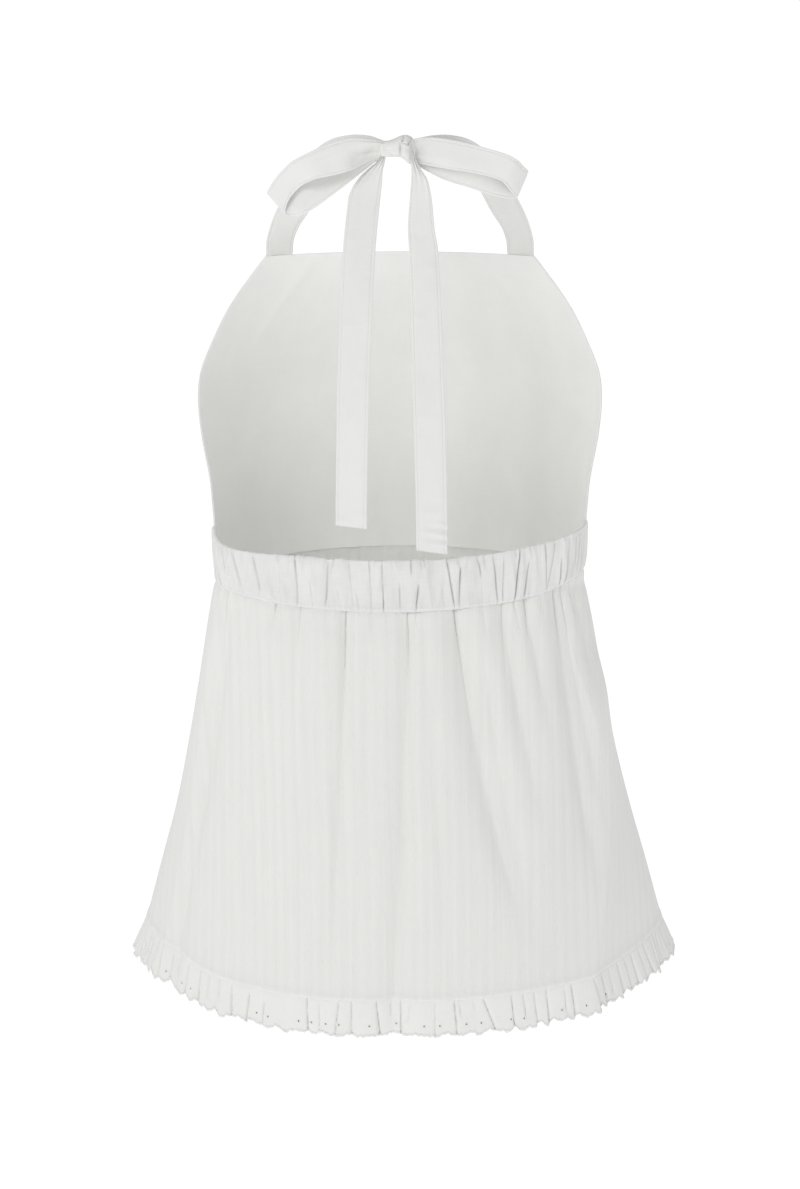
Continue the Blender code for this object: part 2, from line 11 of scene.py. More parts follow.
import bmesh
import bpy
import numpy as np
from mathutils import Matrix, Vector


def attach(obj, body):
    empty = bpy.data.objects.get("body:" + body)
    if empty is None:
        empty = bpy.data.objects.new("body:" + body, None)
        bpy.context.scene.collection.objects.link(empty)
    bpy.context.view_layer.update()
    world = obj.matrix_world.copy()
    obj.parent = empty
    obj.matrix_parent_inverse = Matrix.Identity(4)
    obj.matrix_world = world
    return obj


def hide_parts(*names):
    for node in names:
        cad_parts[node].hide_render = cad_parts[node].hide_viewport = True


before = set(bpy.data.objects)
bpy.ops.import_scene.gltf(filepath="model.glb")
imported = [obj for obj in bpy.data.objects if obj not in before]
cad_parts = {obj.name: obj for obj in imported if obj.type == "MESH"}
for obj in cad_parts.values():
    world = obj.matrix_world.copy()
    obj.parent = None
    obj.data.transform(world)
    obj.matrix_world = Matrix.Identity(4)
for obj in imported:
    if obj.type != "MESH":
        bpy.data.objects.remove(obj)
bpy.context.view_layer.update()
MM = 0.001
print("pieces to dress:", ", ".join(sorted(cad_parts)))

# %% [markdown]
# ## Camera
# A long lens 1.8 m behind the wearer, at the height of the head and tilted down by 15 degrees to the waist.
# The lens is worked out from how many millimetres one picture line covers at the point aimed at, so
# that the top keeps its place in an upright picture of 800 by 1189.

# %% Camera
EYE_DISTANCE = 1.80
EYE_RISE = math.radians(15.0)
AIM = Vector((0.0, -0.062, -0.33169))
PICTURE_LINES = 1189
LINE_AT_AIM = 0.745 * MM
SENSOR = 24.0

camera_data = bpy.data.cameras.new("camera")
camera = bpy.data.objects.new("camera", camera_data)
bpy.context.scene.collection.objects.link(camera)
camera_data.sensor_fit = "VERTICAL"
camera_data.sensor_height = SENSOR
camera_data.lens = SENSOR * EYE_DISTANCE / (LINE_AT_AIM * PICTURE_LINES)
camera.location = AIM + EYE_DISTANCE * Vector((0.0, math.cos(EYE_RISE), math.sin(EYE_RISE)))
camera.rotation_euler = (AIM - camera.location).to_track_quat("-Z", "Y").to_euler()
bpy.context.scene.camera = camera
print("lens", round(camera_data.lens, 2), "mm")

# %% [markdown]
# ## Studio
# White cloth on a white ground needs soft light from all round and only a little from one side, or its
# folds either vanish or turn grey. The floor lies where the wearer's feet would be, far below the hem,
# so that no hard shadow falls behind the top. The Standard view keeps white paper white.

# %% Studio
FLOOR_DROP = 1.42
FLOOR_SIZE = 400.0
FLOOR_GLOW = 0.54
ROOM_LIGHT = 0.62

bpy.context.scene.view_settings.view_transform = "Standard"
world = bpy.data.worlds.new("studio")
world.use_nodes = True
world.node_tree.nodes["Background"].inputs["Color"].default_value = (1.0, 1.0, 1.0, 1.0)
world.node_tree.nodes["Background"].inputs["Strength"].default_value = ROOM_LIGHT
bpy.context.scene.world = world


def soft_light(name, place, size, watts, aim=AIM):
    lamp = bpy.data.lights.new(name, "AREA")
    lamp.shape = "DISK"
    lamp.size = size
    lamp.energy = watts
    light = bpy.data.objects.new(name, lamp)
    light.location = place
    light.rotation_euler = (aim - Vector(place)).to_track_quat("-Z", "Y").to_euler()
    bpy.context.scene.collection.objects.link(light)


soft_light("key_light", (1.5, 2.2, 1.15), 1.1, 21.0)
soft_light("side_fill", (-1.9, 0.9, -1.1), 1.0, 2.6)

bpy.ops.mesh.primitive_plane_add(size=FLOOR_SIZE, location=(0.0, 0.0, -FLOOR_DROP))
floor = bpy.context.object
floor.name = "floor"
floor_paint = bpy.data.materials.new("floor_paint")
floor_paint.use_nodes = True
floor_shader = floor_paint.node_tree.nodes["Principled BSDF"]
floor_shader.inputs["Base Color"].default_value = (0.8, 0.8, 0.8, 1.0)
floor_shader.inputs["Roughness"].default_value = 0.9
floor_shader.inputs["Emission Color"].default_value = (1.0, 1.0, 1.0, 1.0)
floor_shader.inputs["Emission Strength"].default_value = FLOOR_GLOW
floor.data.materials.append(floor_paint)
print("floor", FLOOR_DROP, "m below the nape")

# %% [markdown]
# ## Reading a table along a smooth curve
# A dressmaker's block is a handful of measures at a handful of levels. Each table below has one row per
# level, and this helper reads it between the rows along a smooth curve. It works on whole arrays of
# places at once, because a cloth mesh asks for tens of thousands of them.

# %% Table helpers
def smooth(rows, at):
    """The columns of a table, after its first, at places between its rows."""
    table = np.array(sorted(tuple(row) for row in rows), float)
    places, columns = table[:, 0], table[:, 1:]
    at = np.clip(np.asarray(at, float), places[0], places[-1])
    last = np.clip(np.searchsorted(places, at, side="right") - 1, 0, len(places) - 2)
    before, after = np.maximum(last - 1, 0), np.minimum(last + 2, len(places) - 1)
    step = places[last + 1] - places[last]
    share = ((at - places[last]) / step)[..., None]
    slope_in = (columns[last + 1] - columns[before]) * (step / (places[last + 1] - places[before]))[..., None]
    slope_out = (columns[after] - columns[last]) * (step / (places[after] - places[last]))[..., None]
    rise = columns[last + 1] - columns[last]
    bend = share * share * (3 - 2 * share) * rise
    return columns[last] + bend + share * (1 - share) ** 2 * slope_in - share ** 2 * (1 - share) * slope_out


def ramp(value, low, high):
    """0 below low, 1 above high, and a smooth rise between them."""
    share = np.clip((value - low) / (high - low), 0.0, 1.0)
    return share * share * (3 - 2 * share)


def between(value, start, started, ending, end):
    """1 between two places and 0 outside them, with a smooth rise and a smooth fall."""
    return ramp(value, start, started) * (1 - ramp(value, ending, end))


def unit(vectors):
    return vectors / np.maximum(np.linalg.norm(vectors, axis=-1, keepdims=True), 1e-12)


def turned(angle):
    """Angles in degrees, brought to between -180 and 180."""
    return (np.asarray(angle) + 180) % 360 - 180


print("a quarter of the way up a smooth rise:", round(float(ramp(0.25, 0.0, 1.0)), 3))

# %% [markdown]
# ## The body of the top
# Everything below the bust follows rings drawn round one upright line. A ring is half an ellipse at the
# back and half a deeper one at the front, drawn to a point at the side seams as it nears the hem. The
# seam lines that run round the body are tables too: degrees from the middle of the back towards the
# wearer's left, and a height.

# %% Rings, seams and hem
AXIS_Y = -62.0 * MM
TURN_STEP = 0.01
RINGS = (  # height, half width, depth behind, depth in front, sway, point at the side seams
    (-640.0, 212.0, 146.0, 156.0, -3.5, 0.30),
    (-598.0, 200.4, 138.0, 149.0, -3.3, 0.28),
    (-543.0, 185.3, 127.0, 142.0, -3.0, 0.23),
    (-494.0, 171.5, 116.5, 136.0, -2.4, 0.18),
    (-446.0, 160.3, 105.0, 130.0, -1.2, 0.13),
    (-398.0, 151.0, 93.0, 124.5, -0.6, 0.08),
    (-351.0, 142.6, 80.5, 119.5, -0.2, 0.02),
    (-330.0, 138.0, 72.5, 118.0, 0.0, 0.0),
    (-318.0, 134.8, 67.5, 117.5, 0.0, 0.0),
    (-296.0, 135.6, 66.0, 118.0, 0.0, 0.0),
    (-270.0, 135.6, 66.0, 119.5, 0.0, 0.0),
)
WAIST_SEAM = (
    (-180, -323.0), (-130, -321.0), (-90, -312.0), (-69, -313.5), (-48, -319.5), (-32, -322.8), (0, -326.0),
    (32, -325.1), (58, -322.4), (90, -320.5), (130, -322.5), (180, -323.0),
)
CASING_TOP = (
    (-90, -275.5), (-69, -278.4), (-43, -283.4), (-24, -286.9), (0, -289.5), (35, -288.8), (58, -289.6),
    (69, -289.0), (80, -285.5), (90, -280.0),
)
HEM = (
    (-180, -598.0), (-138, -598.0), (-125, -593.5), (-112, -588.7), (-90, -588.0), (-77, -586.8),
    (-57, -591.3), (-45, -594.0), (-20, -595.8), (0, -597.3), (20, -598.0), (42, -597.3), (55, -592.7),
    (68, -588.3), (90, -587.2), (112, -588.5), (125, -593.5), (138, -598.0), (180, -598.0),
)


def level(table, angle):
    """The height of a seam line, in metres, at angles round the body."""
    return smooth(table, turned(angle))[..., 0] * MM


def flat_ring(ring, turn):
    """Points on a ring, seen from above and measured from its axis."""
    half_width, back_depth, front_depth, sway, point = np.moveaxis(ring, -1, 0)
    depth = np.where(np.cos(turn) > 0, back_depth, front_depth)
    y = depth * np.cos(turn) * (1 - point * np.sin(turn) ** 4)
    return np.stack([half_width * np.sin(turn) + sway, y], -1) * MM


def ring_point(height, angle, out=0.0):
    """Points on the body at heights in metres and angles in degrees, moved out by a distance."""
    height, angle, out = np.broadcast_arrays(height, angle, out)
    ring = smooth(RINGS, height / MM)
    turn = np.radians(angle)
    along = flat_ring(ring, turn + TURN_STEP) - flat_ring(ring, turn - TURN_STEP)
    facing = unit(np.stack([-along[..., 1], along[..., 0]], -1))
    flat = flat_ring(ring, turn) + facing * out[..., None] + np.array([0.0, AXIS_Y])
    return np.concatenate([flat, height[..., None]], -1)


def arc_length(table, start, end, steps=720):
    """The distance along a seam line from start to each of many angles, as a table to look up."""
    angles = np.linspace(start, end, steps)
    points = ring_point(level(table, angles), angles)
    run = np.concatenate([[0.0], np.cumsum(np.linalg.norm(np.diff(points, axis=0), axis=1))])
    return angles, run


for seam_name, seam in (("waist seam", WAIST_SEAM), ("hem", HEM)):
    print(seam_name, "round the back:", round(arc_length(seam, -90, 90)[1][-1] * 1000), "mm")

# %% [markdown]
# ## Turning a flat sheet into cloth
# Each panel starts as a flat net of four-sided faces, as it would lie on the cutting table. A placing
# function says where each of its points goes in space, and the net becomes a thin closed shell by
# moving one copy out and one in along the surface's own direction, then sewing the two together along
# every open edge. The cut's own measures are kept as the UV map, in metres, so that the weave is the
# same size all over and runs with the cloth. The ties and the casing are closed tubes instead.

# %% Sheet builder
SLOPE_STEP = 2e-4
SHEET_SHARP, TUBE_SHARP = 55, 70


def net(across, up):
    """A flat net: its points as (across, up), and its faces, turning left as seen from outside."""
    wide = len(across)
    flat = np.array([(a, u) for u in up for a in across], float)
    first = np.array([r * wide + c for r in range(len(up) - 1) for c in range(wide - 1)])
    return flat, np.stack([first, first + 1, first + wide + 1, first + wide], -1)


def open_edges(faces, count):
    """Directed edges that only one face uses."""
    edges = np.concatenate([faces[:, [i, (i + 1) % 4]] for i in range(4)])
    code, back = edges[:, 0] * count + edges[:, 1], edges[:, 1] * count + edges[:, 0]
    return edges[~np.isin(back, code)]


def piece_from(name, points, faces, uvs, material):
    """A plain mesh object with one UV pair for each of its points."""
    mesh = bpy.data.meshes.new(name)
    mesh.from_pydata(points.tolist(), [], [tuple(face) for face in faces])
    mesh.materials.append(material)
    corners = np.empty(len(mesh.loops), int)
    mesh.loops.foreach_get("vertex_index", corners)
    layer = mesh.uv_layers.new(name="cut")
    layer.data.foreach_set("uv", np.asarray(uvs, np.float32)[corners].ravel())
    mesh.shade_smooth()
    piece = bpy.data.objects.new(name, mesh)
    bpy.context.scene.collection.objects.link(piece)
    return piece


def sheet_from(name, flat, faces, place, cut, wall, material):
    """A thin closed shell: place(across, up) gives its middle, and cut(across, up) its flat measures."""
    across, up = flat[:, 0], flat[:, 1]
    middle = place(across, up)
    right = place(across + SLOPE_STEP, up) - place(across - SLOPE_STEP, up)
    upward = place(across, up + SLOPE_STEP) - place(across, up - SLOPE_STEP)
    facing = unit(np.cross(right, upward))
    half = wall(across, up)[:, None] / 2 if callable(wall) else wall / 2
    count = len(flat)
    rim = open_edges(faces, count)
    rim_faces = np.stack([rim[:, 1], rim[:, 0], rim[:, 0] + count, rim[:, 1] + count], -1)
    every = np.concatenate([faces, faces[:, ::-1] + count, rim_faces])
    uvs = np.tile(cut(across, up), (2, 1))
    points = np.concatenate([middle + facing * half, middle - facing * half])
    piece = piece_from(name, points, every, uvs, material)
    piece.data.set_sharp_from_angle(angle=math.radians(SHEET_SHARP))
    print(name, len(every) * 2, "triangles")
    return piece


def tube_from(name, rings, uvs, material, sharp=TUBE_SHARP):
    """A closed tube through rings of points, with a flat cap at each end."""
    count, around = rings.shape[:2]
    index = np.arange(count * around).reshape(count, around)
    onward = np.roll(index, -1, axis=1)
    faces = np.stack([index[:-1], onward[:-1], onward[1:], index[1:]], -1).reshape(-1, 4)
    mesh_faces = [tuple(f) for f in faces] + [tuple(index[0][::-1]), tuple(index[-1])]
    piece = piece_from(name, rings.reshape(-1, 3), mesh_faces, uvs.reshape(-1, 2), material)
    shell = bmesh.new()
    shell.from_mesh(piece.data)
    bmesh.ops.recalc_face_normals(shell, faces=shell.faces)
    bmesh.ops.triangulate(shell, faces=[face for face in shell.faces if len(face.verts) > 4])
    shell.to_mesh(piece.data)
    shell.free()
    piece.data.set_sharp_from_angle(angle=math.radians(sharp))
    print(name, len(faces) * 2, "triangles")
    return piece


# %% [markdown]
# ## Threads and streaks
# A woven surface is a few simple patterns laid over each other. Each helper here makes one of them from
# the cut's own measures: even waves for threads and stripes, stretched noise for uneven yarn, and the
# peaks of a noise for flecks. A material then adds them up with a weight for each.

# %% Thread helpers
WAVE_SCALE = 2 * math.pi / 20


def add_node(tree, kind, **values):
    made = tree.nodes.new(kind)
    for key, value in values.items():
        setattr(made, key, value)
    return made


def grey(texture):
    """A texture's grey output, under either of the names it goes by."""
    return texture.outputs["Factor"] if "Factor" in texture.outputs else texture.outputs["Fac"]


def threads(tree, uv, direction, pitch, wobble=0.0):
    """Waves across the cloth with one crest for each thread or stripe."""
    wave = add_node(tree, "ShaderNodeTexWave", wave_type="BANDS", bands_direction=direction)
    wave.inputs["Scale"].default_value = WAVE_SCALE / pitch
    wave.inputs["Distortion"].default_value = wobble
    wave.inputs["Detail"].default_value = 1.0
    tree.links.new(uv.outputs["UV"], wave.inputs["Vector"])
    return grey(wave)


def uneven(tree, uv, across, along, detail=2.0):
    """Noise stretched along the cloth: across and along are the sizes of its patches, in metres."""
    stretch = add_node(tree, "ShaderNodeMapping")
    stretch.inputs["Scale"].default_value = (1 / across, 1 / along, 1.0)
    noise = add_node(tree, "ShaderNodeTexNoise", noise_dimensions="2D")
    noise.inputs["Scale"].default_value = 1.0
    noise.inputs["Detail"].default_value = detail
    tree.links.new(uv.outputs["UV"], stretch.inputs["Vector"])
    tree.links.new(stretch.outputs["Vector"], noise.inputs["Vector"])
    return grey(noise)


def only_high(tree, factor, low, high):
    """0 to 1 over the top end of a noise, so that only its peaks are left."""
    peak = add_node(tree, "ShaderNodeMapRange", interpolation_type="SMOOTHSTEP")
    peak.inputs["From Min"].default_value = low
    peak.inputs["From Max"].default_value = high
    tree.links.new(factor, peak.inputs["Value"])
    return peak.outputs["Result"]


def blend_sum(tree, parts):
    """The weighted sum of some factors."""
    total = None
    for factor, weight in parts:
        scaled = add_node(tree, "ShaderNodeMath", operation="MULTIPLY_ADD")
        scaled.inputs[1].default_value = weight
        tree.links.new(factor, scaled.inputs[0])
        if total is None:
            scaled.inputs[2].default_value = 0.0
        else:
            tree.links.new(total, scaled.inputs[2])
        total = scaled.outputs[0]
    return total


print("wave scale for threads 0.42 mm apart:", round(WAVE_SCALE / (0.42 * MM), 1))

# %% [markdown]
# ## Cotton
# All the cloth is white cotton, so what tells the pieces apart is small: a plain smooth lining, a self
# stripe woven into the skirt, a bluish tint in the casing. On top of that the base colours hold painted
# light and shade: the lining is painted lighter, for the light inside the bib, and the casing and the
# ties are painted darker, for the shade in the casing's creases and on the ties. The weave is two sets
# of fine waves crossing at right angles in the cut's own measures, with uneven threads from stretched
# noise. The stripe is one wider, regular wave, as a loom makes it; long streaks and short flecks lie
# over it, because the yarn itself is never even.

# %% Cotton material
def dye(tree, factor, colour, darkest, low=0.0, high=1.0):
    """A colour for the cloth that is darkest where a factor is low."""
    shade = add_node(tree, "ShaderNodeMapRange")
    for label, value in (("From Min", low), ("From Max", high), ("To Min", darkest), ("To Max", 1.0)):
        shade.inputs[label].default_value = value
    tint = add_node(tree, "ShaderNodeVectorMath", operation="SCALE")
    tint.inputs[0].default_value = colour
    tree.links.new(factor, shade.inputs["Value"])
    tree.links.new(shade.outputs["Result"], tint.inputs["Scale"])
    tree.links.new(tint.outputs["Vector"], tree.nodes["Principled BSDF"].inputs["Base Color"])


STRIPE_PITCH = 8.45 * MM


def cotton(name, colour, stripe=0.0, thread=0.42 * MM, relief=0.25 * MM, soft=0.92, contrast=0.05):
    """White cotton: its base colour, how strongly a woven stripe shows, its thread and how far that stands out."""
    material = bpy.data.materials.new(name)
    material.use_nodes = True
    tree = material.node_tree
    shader = tree.nodes["Principled BSDF"]
    uv = add_node(tree, "ShaderNodeUVMap", uv_map="cut")
    warp, weft = threads(tree, uv, "X", thread), threads(tree, uv, "Y", thread * 1.15)
    slub = uneven(tree, uv, 1.2 * MM, 18 * MM, 3.0)
    cross_slub = uneven(tree, uv, 12 * MM, 1.6 * MM, 3.0)
    cloud = uneven(tree, uv, 22 * MM, 34 * MM, 3.0)
    heights = [(warp, 0.05), (weft, 0.05), (slub, 0.40), (cross_slub, 0.30)]
    tints = [(slub, 0.30), (cross_slub, 0.25), (cloud, 0.45)]
    if stripe:
        wide = threads(tree, uv, "X", STRIPE_PITCH, 0.25)
        streak = uneven(tree, uv, 2.4 * MM, 120 * MM, 3.0)
        fleck = only_high(tree, uneven(tree, uv, 1.5 * MM, 7 * MM, 1.0), 0.66, 0.80)
        heights += [(wide, 0.45 * stripe), (streak, 2.2 * stripe), (fleck, 0.8 * stripe)]
        tints += [(wide, 0.36 * stripe), (streak, 1.0 * stripe), (fleck, 0.30 * stripe)]
    top = sum(weight for _, weight in tints)
    dye(tree, blend_sum(tree, tints), colour, 1.0 - contrast, 0.25 * top, 0.75 * top)
    bump = add_node(tree, "ShaderNodeBump")
    bump.inputs["Strength"].default_value = 0.6
    bump.inputs["Distance"].default_value = relief
    tree.links.new(blend_sum(tree, heights), bump.inputs["Height"])
    tree.links.new(bump.outputs["Normal"], shader.inputs["Normal"])
    shader.inputs["Roughness"].default_value = soft
    shader.inputs["Specular IOR Level"].default_value = 0.2
    shader.inputs["Sheen Weight"].default_value = 0.08
    shader.inputs["Sheen Roughness"].default_value = 0.5
    return material


def sewing_thread(name, colour):
    """Twisted thread, uneven along itself; its grain follows the object's own measures."""
    material = bpy.data.materials.new(name)
    material.use_nodes = True
    tree = material.node_tree
    shader = tree.nodes["Principled BSDF"]
    place = add_node(tree, "ShaderNodeTexCoord")
    grain = add_node(tree, "ShaderNodeTexNoise")
    grain.inputs["Scale"].default_value = 1 / (0.5 * MM)
    tree.links.new(place.outputs["Object"], grain.inputs["Vector"])
    dye(tree, grey(grain), colour, 0.9)
    shader.inputs["Roughness"].default_value = 0.7
    shader.inputs["Sheen Weight"].default_value = 0.1
    return material


SKIRT_COTTON = cotton("striped_cotton", (0.815, 0.815, 0.795), stripe=1.0, contrast=0.07)
BIB_COTTON = cotton("bib_cotton", (0.815, 0.815, 0.795), stripe=0.6)
# The lining's base colour is painted lighter than the shell's: painted light that stands for the light inside the
# bib.
LINING_COTTON = cotton("lining_lawn_painted_light", (0.90, 0.90, 0.882), thread=0.30 * MM, relief=0.10 * MM)
# The casing's base colour is painted darker than the skirt's: painted shade that stands for the shade of its many
# creases. Its bluish tint is its own.
CASING_COTTON = cotton("gathered_cotton_painted_shade", (0.785, 0.785, 0.779), thread=0.30 * MM, relief=0.16 * MM,
                       contrast=0.10)
RUFFLE_COTTON = cotton("eyelet_edging", (0.82, 0.82, 0.802), thread=0.30 * MM, relief=0.12 * MM)
# The ties' base colour is painted darker than the skirt's: painted shade that stands for the shade on the tails and
# the knot.
TIE_COTTON = cotton("tie_cloth_painted_shade", (0.77, 0.77, 0.753), thread=0.36 * MM, relief=0.14 * MM)
THREAD = sewing_thread("sewing_thread", (0.87, 0.87, 0.86))
COTTONS = (SKIRT_COTTON, BIB_COTTON, LINING_COTTON, CASING_COTTON, RUFFLE_COTTON, TIE_COTTON)
print("cottons:", ", ".join(material.name for material in COTTONS))

# %% [markdown]
# ## Skirt: the folds
# The skirt is two flared panels joined at the sides. Its folds start at the gathered waist and die out
# or run to the hem, each with its own width. A fold is a soft trough along a line from one angle at the
# waist to another at the hem, and a ridge is where the cloth turns a corner outward. Both are only
# distances in or out from the ring, so they can be added up and placed in one go.

# %% Skirt folds
FOLDS = (  # angle at the waist, angle at the hem, depth, half width, start and end down the skirt
    (70, 58.5, 2.8, 8.0, 0.20, 1.60), (64, 58, 2.6, 10.0, 0.02, 0.75), (54, 40, 1.8, 11.0, 0.02, 0.65),
    (41, 39.5, 1.6, 3.5, 0.00, 0.16), (31, 30, 2.2, 7.0, 0.00, 0.34), (16.3, 16.0, 3.6, 7.0, 0.00, 0.95),
    (8.4, 10.5, 1.3, 7.0, 0.05, 1.30), (-3.0, 2.4, 4.6, 10.0, 0.00, 1.60), (-7.3, -10, 1.6, 6.0, 0.00, 1.00),
    (-16.4, -29, 5.4, 10.0, 0.00, 0.90), (-24, -31, 2.2, 7.0, 0.20, 0.90), (-32.5, -40, 3.4, 8.0, 0.00, 0.62),
    (-42, -48, 3.0, 6.0, 0.00, 0.42), (-57, -48, 4.2, 9.0, 0.00, 0.85), (-62, -56, 2.6, 7.0, 0.00, 0.70),
    (-72, -67, 3.0, 9.0, 0.00, 0.40), (25, 21, 1.2, 9.0, 0.25, 1.20), (38, 33, 1.4, 12.0, 0.35, 1.30),
    (-150, -148, 4.0, 14.0, 0.10, 1.50), (-172, -170, 2.5, 15.0, 0.20, 1.30), (166, 168, 4.0, 14.0, 0.10, 1.50),
    (146, 142, 3.5, 12.0, 0.10, 1.40), (120, 122, 3.0, 12.0, 0.15, 1.40), (-124, -126, 3.0, 12.0, 0.15, 1.30),
    (-160, -159, 1.8, 7.0, 0.0, 0.5), (179, 179, 2.0, 8.0, 0.0, 0.45), (155, 155, 1.6, 7.0, 0.0, 0.5),
    (132, 131, 1.8, 7.0, 0.0, 0.4), (-138, -137, 2.0, 7.0, 0.0, 0.55), (106, 108, 2.0, 8.0, 0.3, 1.2),
    (-110, -112, 2.2, 8.0, 0.25, 1.2),
)
RIDGES = (  # where the cloth turns a corner outward: waist and hem angles, height, half widths, start, end
    (-90, -42.5, 7.5, 55.0, 15.0, 0.28, 1.90), (-8.6, -11, 1.2, 9.0, 9.0, 0.02, 1.10),
    (-60, -70, 1.8, 9.0, 7.0, 0.02, 0.60), (76, 64, 2.0, 9.0, 18.0, 0.15, 1.70),
    (22, 22, 1.0, 12.0, 12.0, 0.10, 1.00),
)
FOLD_BEFORE, FOLD_AFTER, FOLD_FADE = 0.12, 0.08, 0.4
FOLD_SHARPNESS, FOLD_GAIN = 1.5, 1.4
SIDE_CALM = 10.0


def skirt_folds(angle, share):
    """How far the cloth stands out at places round the skirt and down it; less than 0 in a fold."""
    depth = np.zeros_like(angle)
    height = level(WAIST_SEAM, angle) * (1 - share) + level(HEM, angle) * share
    here = ring_point(height, angle)

    def away(middle):
        return np.linalg.norm(ring_point(height, middle) - here, axis=-1)

    def shown(start, end):
        return between(share, start - FOLD_BEFORE, start + FOLD_AFTER, end - FOLD_FADE, end)

    for waist, hem, deep, half_width, start, end in FOLDS:
        reach = away(waist + (hem - waist) * share) / (half_width * MM)
        depth = depth - FOLD_GAIN * deep * MM * shown(start, end) * np.exp(-reach ** FOLD_SHARPNESS)
    for waist, hem, high, left, right, start, end in RIDGES:
        middle = waist + (hem - waist) * share
        reach = away(middle) / (np.where(angle > middle, left, right) * MM)
        depth = depth + high * MM * shown(start, end) * np.exp(-reach)
    return depth * ramp(np.abs(90 - np.abs(angle)), 0.0, SIDE_CALM)


print(len(FOLDS), "folds and", len(RIDGES), "ridges")

# %% [markdown]
# ## Skirt: under the gathers
# Gathering packs a wide edge into a short seam, and the cloth that has no room there puckers. Small
# troughs hang under the casing's creases, and a few sharp creases head the larger folds. Each fades on
# its way down, as the cloth finds its room again.

# %% Waist puckers
PUCKERS = (  # under the casing's creases: angle, depth, half width, length down the skirt
    (77, 1.0, 2.4, 26), (71, 1.3, 2.6, 30), (58, 1.0, 2.2, 20), (52, 0.8, 2.4, 18), (41, 1.4, 1.8, 22),
    (36, 0.7, 2.6, 14), (32.6, 1.5, 2.0, 26), (27, 0.8, 2.4, 16), (22.6, 1.0, 2.2, 20), (17.5, 1.4, 2.2, 34),
    (12.2, 1.0, 2.0, 20), (8.5, 1.1, 2.0, 22), (4.8, 0.9, 2.0, 18), (-1.0, 1.4, 2.4, 34), (-5.2, 1.0, 2.0, 18),
    (-11, 0.8, 2.4, 16), (-17.2, 1.6, 2.4, 36), (-25, 0.8, 2.2, 18), (-31.8, 1.4, 2.4, 30), (-37.2, 1.0, 2.0, 22),
    (-41.5, 1.5, 2.2, 30), (-47, 0.8, 2.0, 16), (-52, 1.2, 2.2, 24), (-57, 1.3, 2.2, 30), (-61, 1.3, 2.2, 30),
    (-68, 1.0, 2.2, 24), (-76, 1.0, 2.4, 24),
    (110, 0.8, 2.4, 18), (124, 0.9, 2.4, 20), (139, 0.8, 2.4, 20), (152, 1.0, 2.4, 22), (163, 0.8, 2.2, 18),
    (172, 0.9, 2.4, 20), (-176, 0.8, 2.4, 20), (-165, 1.0, 2.4, 22), (-153, 0.8, 2.4, 18), (-141, 1.0, 2.4, 22),
    (-128, 0.8, 2.4, 18), (-113, 0.9, 2.4, 20),
)
CRISP_LINES = (  # sharp creases at the heads of the folds: angle at the seam, lean in degrees, depth, length
    (16.6, -0.9, 1.9, 80), (-2.2, -0.9, 1.8, 58), (-5.0, 0.6, 1.2, 16), (-16.6, -3.4, 2.0, 84), (-32.9, 1.6, 1.4, 50),
    (-41.9, 0.6, 1.8, 26), (-57.3, 1.8, 1.6, 60), (-62.3, 1.2, 1.5, 44), (-25.5, -0.6, 0.9, 20),
    (31.6, -0.6, 1.4, 24), (40.9, -0.5, 1.5, 16), (8.5, 0.2, 0.9, 18), (67.9, -2.6, 1.3, 50),
    (52.0, -1.0, 0.8, 20), (23.0, -0.4, 0.9, 14),
    (-37.3, -0.8, 1.1, 22), (-48.8, 0.6, 1.0, 20), (-68.5, 1.0, 1.3, 40), (178, 1, 1.0, 26), (165, 1.5, 1.2, 34),
    (147, -1.5, 1.2, 34), (124, 1, 1.0, 28), (-171, 1, 1.0, 30), (-151, 1.5, 1.3, 36), (-137, -1, 1.1, 26),
    (-124, -1.5, 1.1, 30),
)
PUCKER_RADIUS, PUCKER_GAIN, PUCKER_SHARPNESS = 110 * MM, 0.7, 1.3
PUCKER_SPREAD = 0.3
CRISP_RADIUS, CRISP_HALF, CRISP_SHARPNESS = 120 * MM, 0.75 * MM, 1.2
CRISP_REACH, CRISP_FADE = 1.15, 0.8


def waist_puckers(angle, below):
    """Troughs and sharp creases under the waist seam; below is the distance down from it."""
    depth = np.zeros_like(angle)
    for middle, deep, half_width, length in PUCKERS:
        fade = np.clip(1 - below / (length * MM), 0, 1)
        reach = np.radians(np.abs(turned(angle - middle))) * PUCKER_RADIUS
        half = half_width * MM * (1 + PUCKER_SPREAD - PUCKER_SPREAD * fade)
        depth -= PUCKER_GAIN * deep * MM * fade * np.exp(-(reach / half) ** PUCKER_SHARPNESS)
    for middle, lean, deep, length in CRISP_LINES:
        run = below / (length * MM)
        fade = np.clip(CRISP_REACH - run, 0, 1) ** CRISP_FADE
        reach = np.radians(np.abs(turned(angle - middle - lean * run))) * CRISP_RADIUS
        depth -= deep * MM * fade * np.exp(-(reach / (CRISP_HALF * (1 + run))) ** CRISP_SHARPNESS)
    return depth


print(len(PUCKERS), "puckers and", len(CRISP_LINES), "sharp creases")

# %% [markdown]
# ## Skirt: the panels
# One placing function adds up all the distances for a panel. Just above the ruffle the pressed seam
# allowance makes a low ridge, and the edges roll in at the side seams. The flat measures are taken along
# each level from the panel's middle, so that the woven stripe runs straight down, as on a real cut. The
# net is closest round the sharp creases, where it is needed.

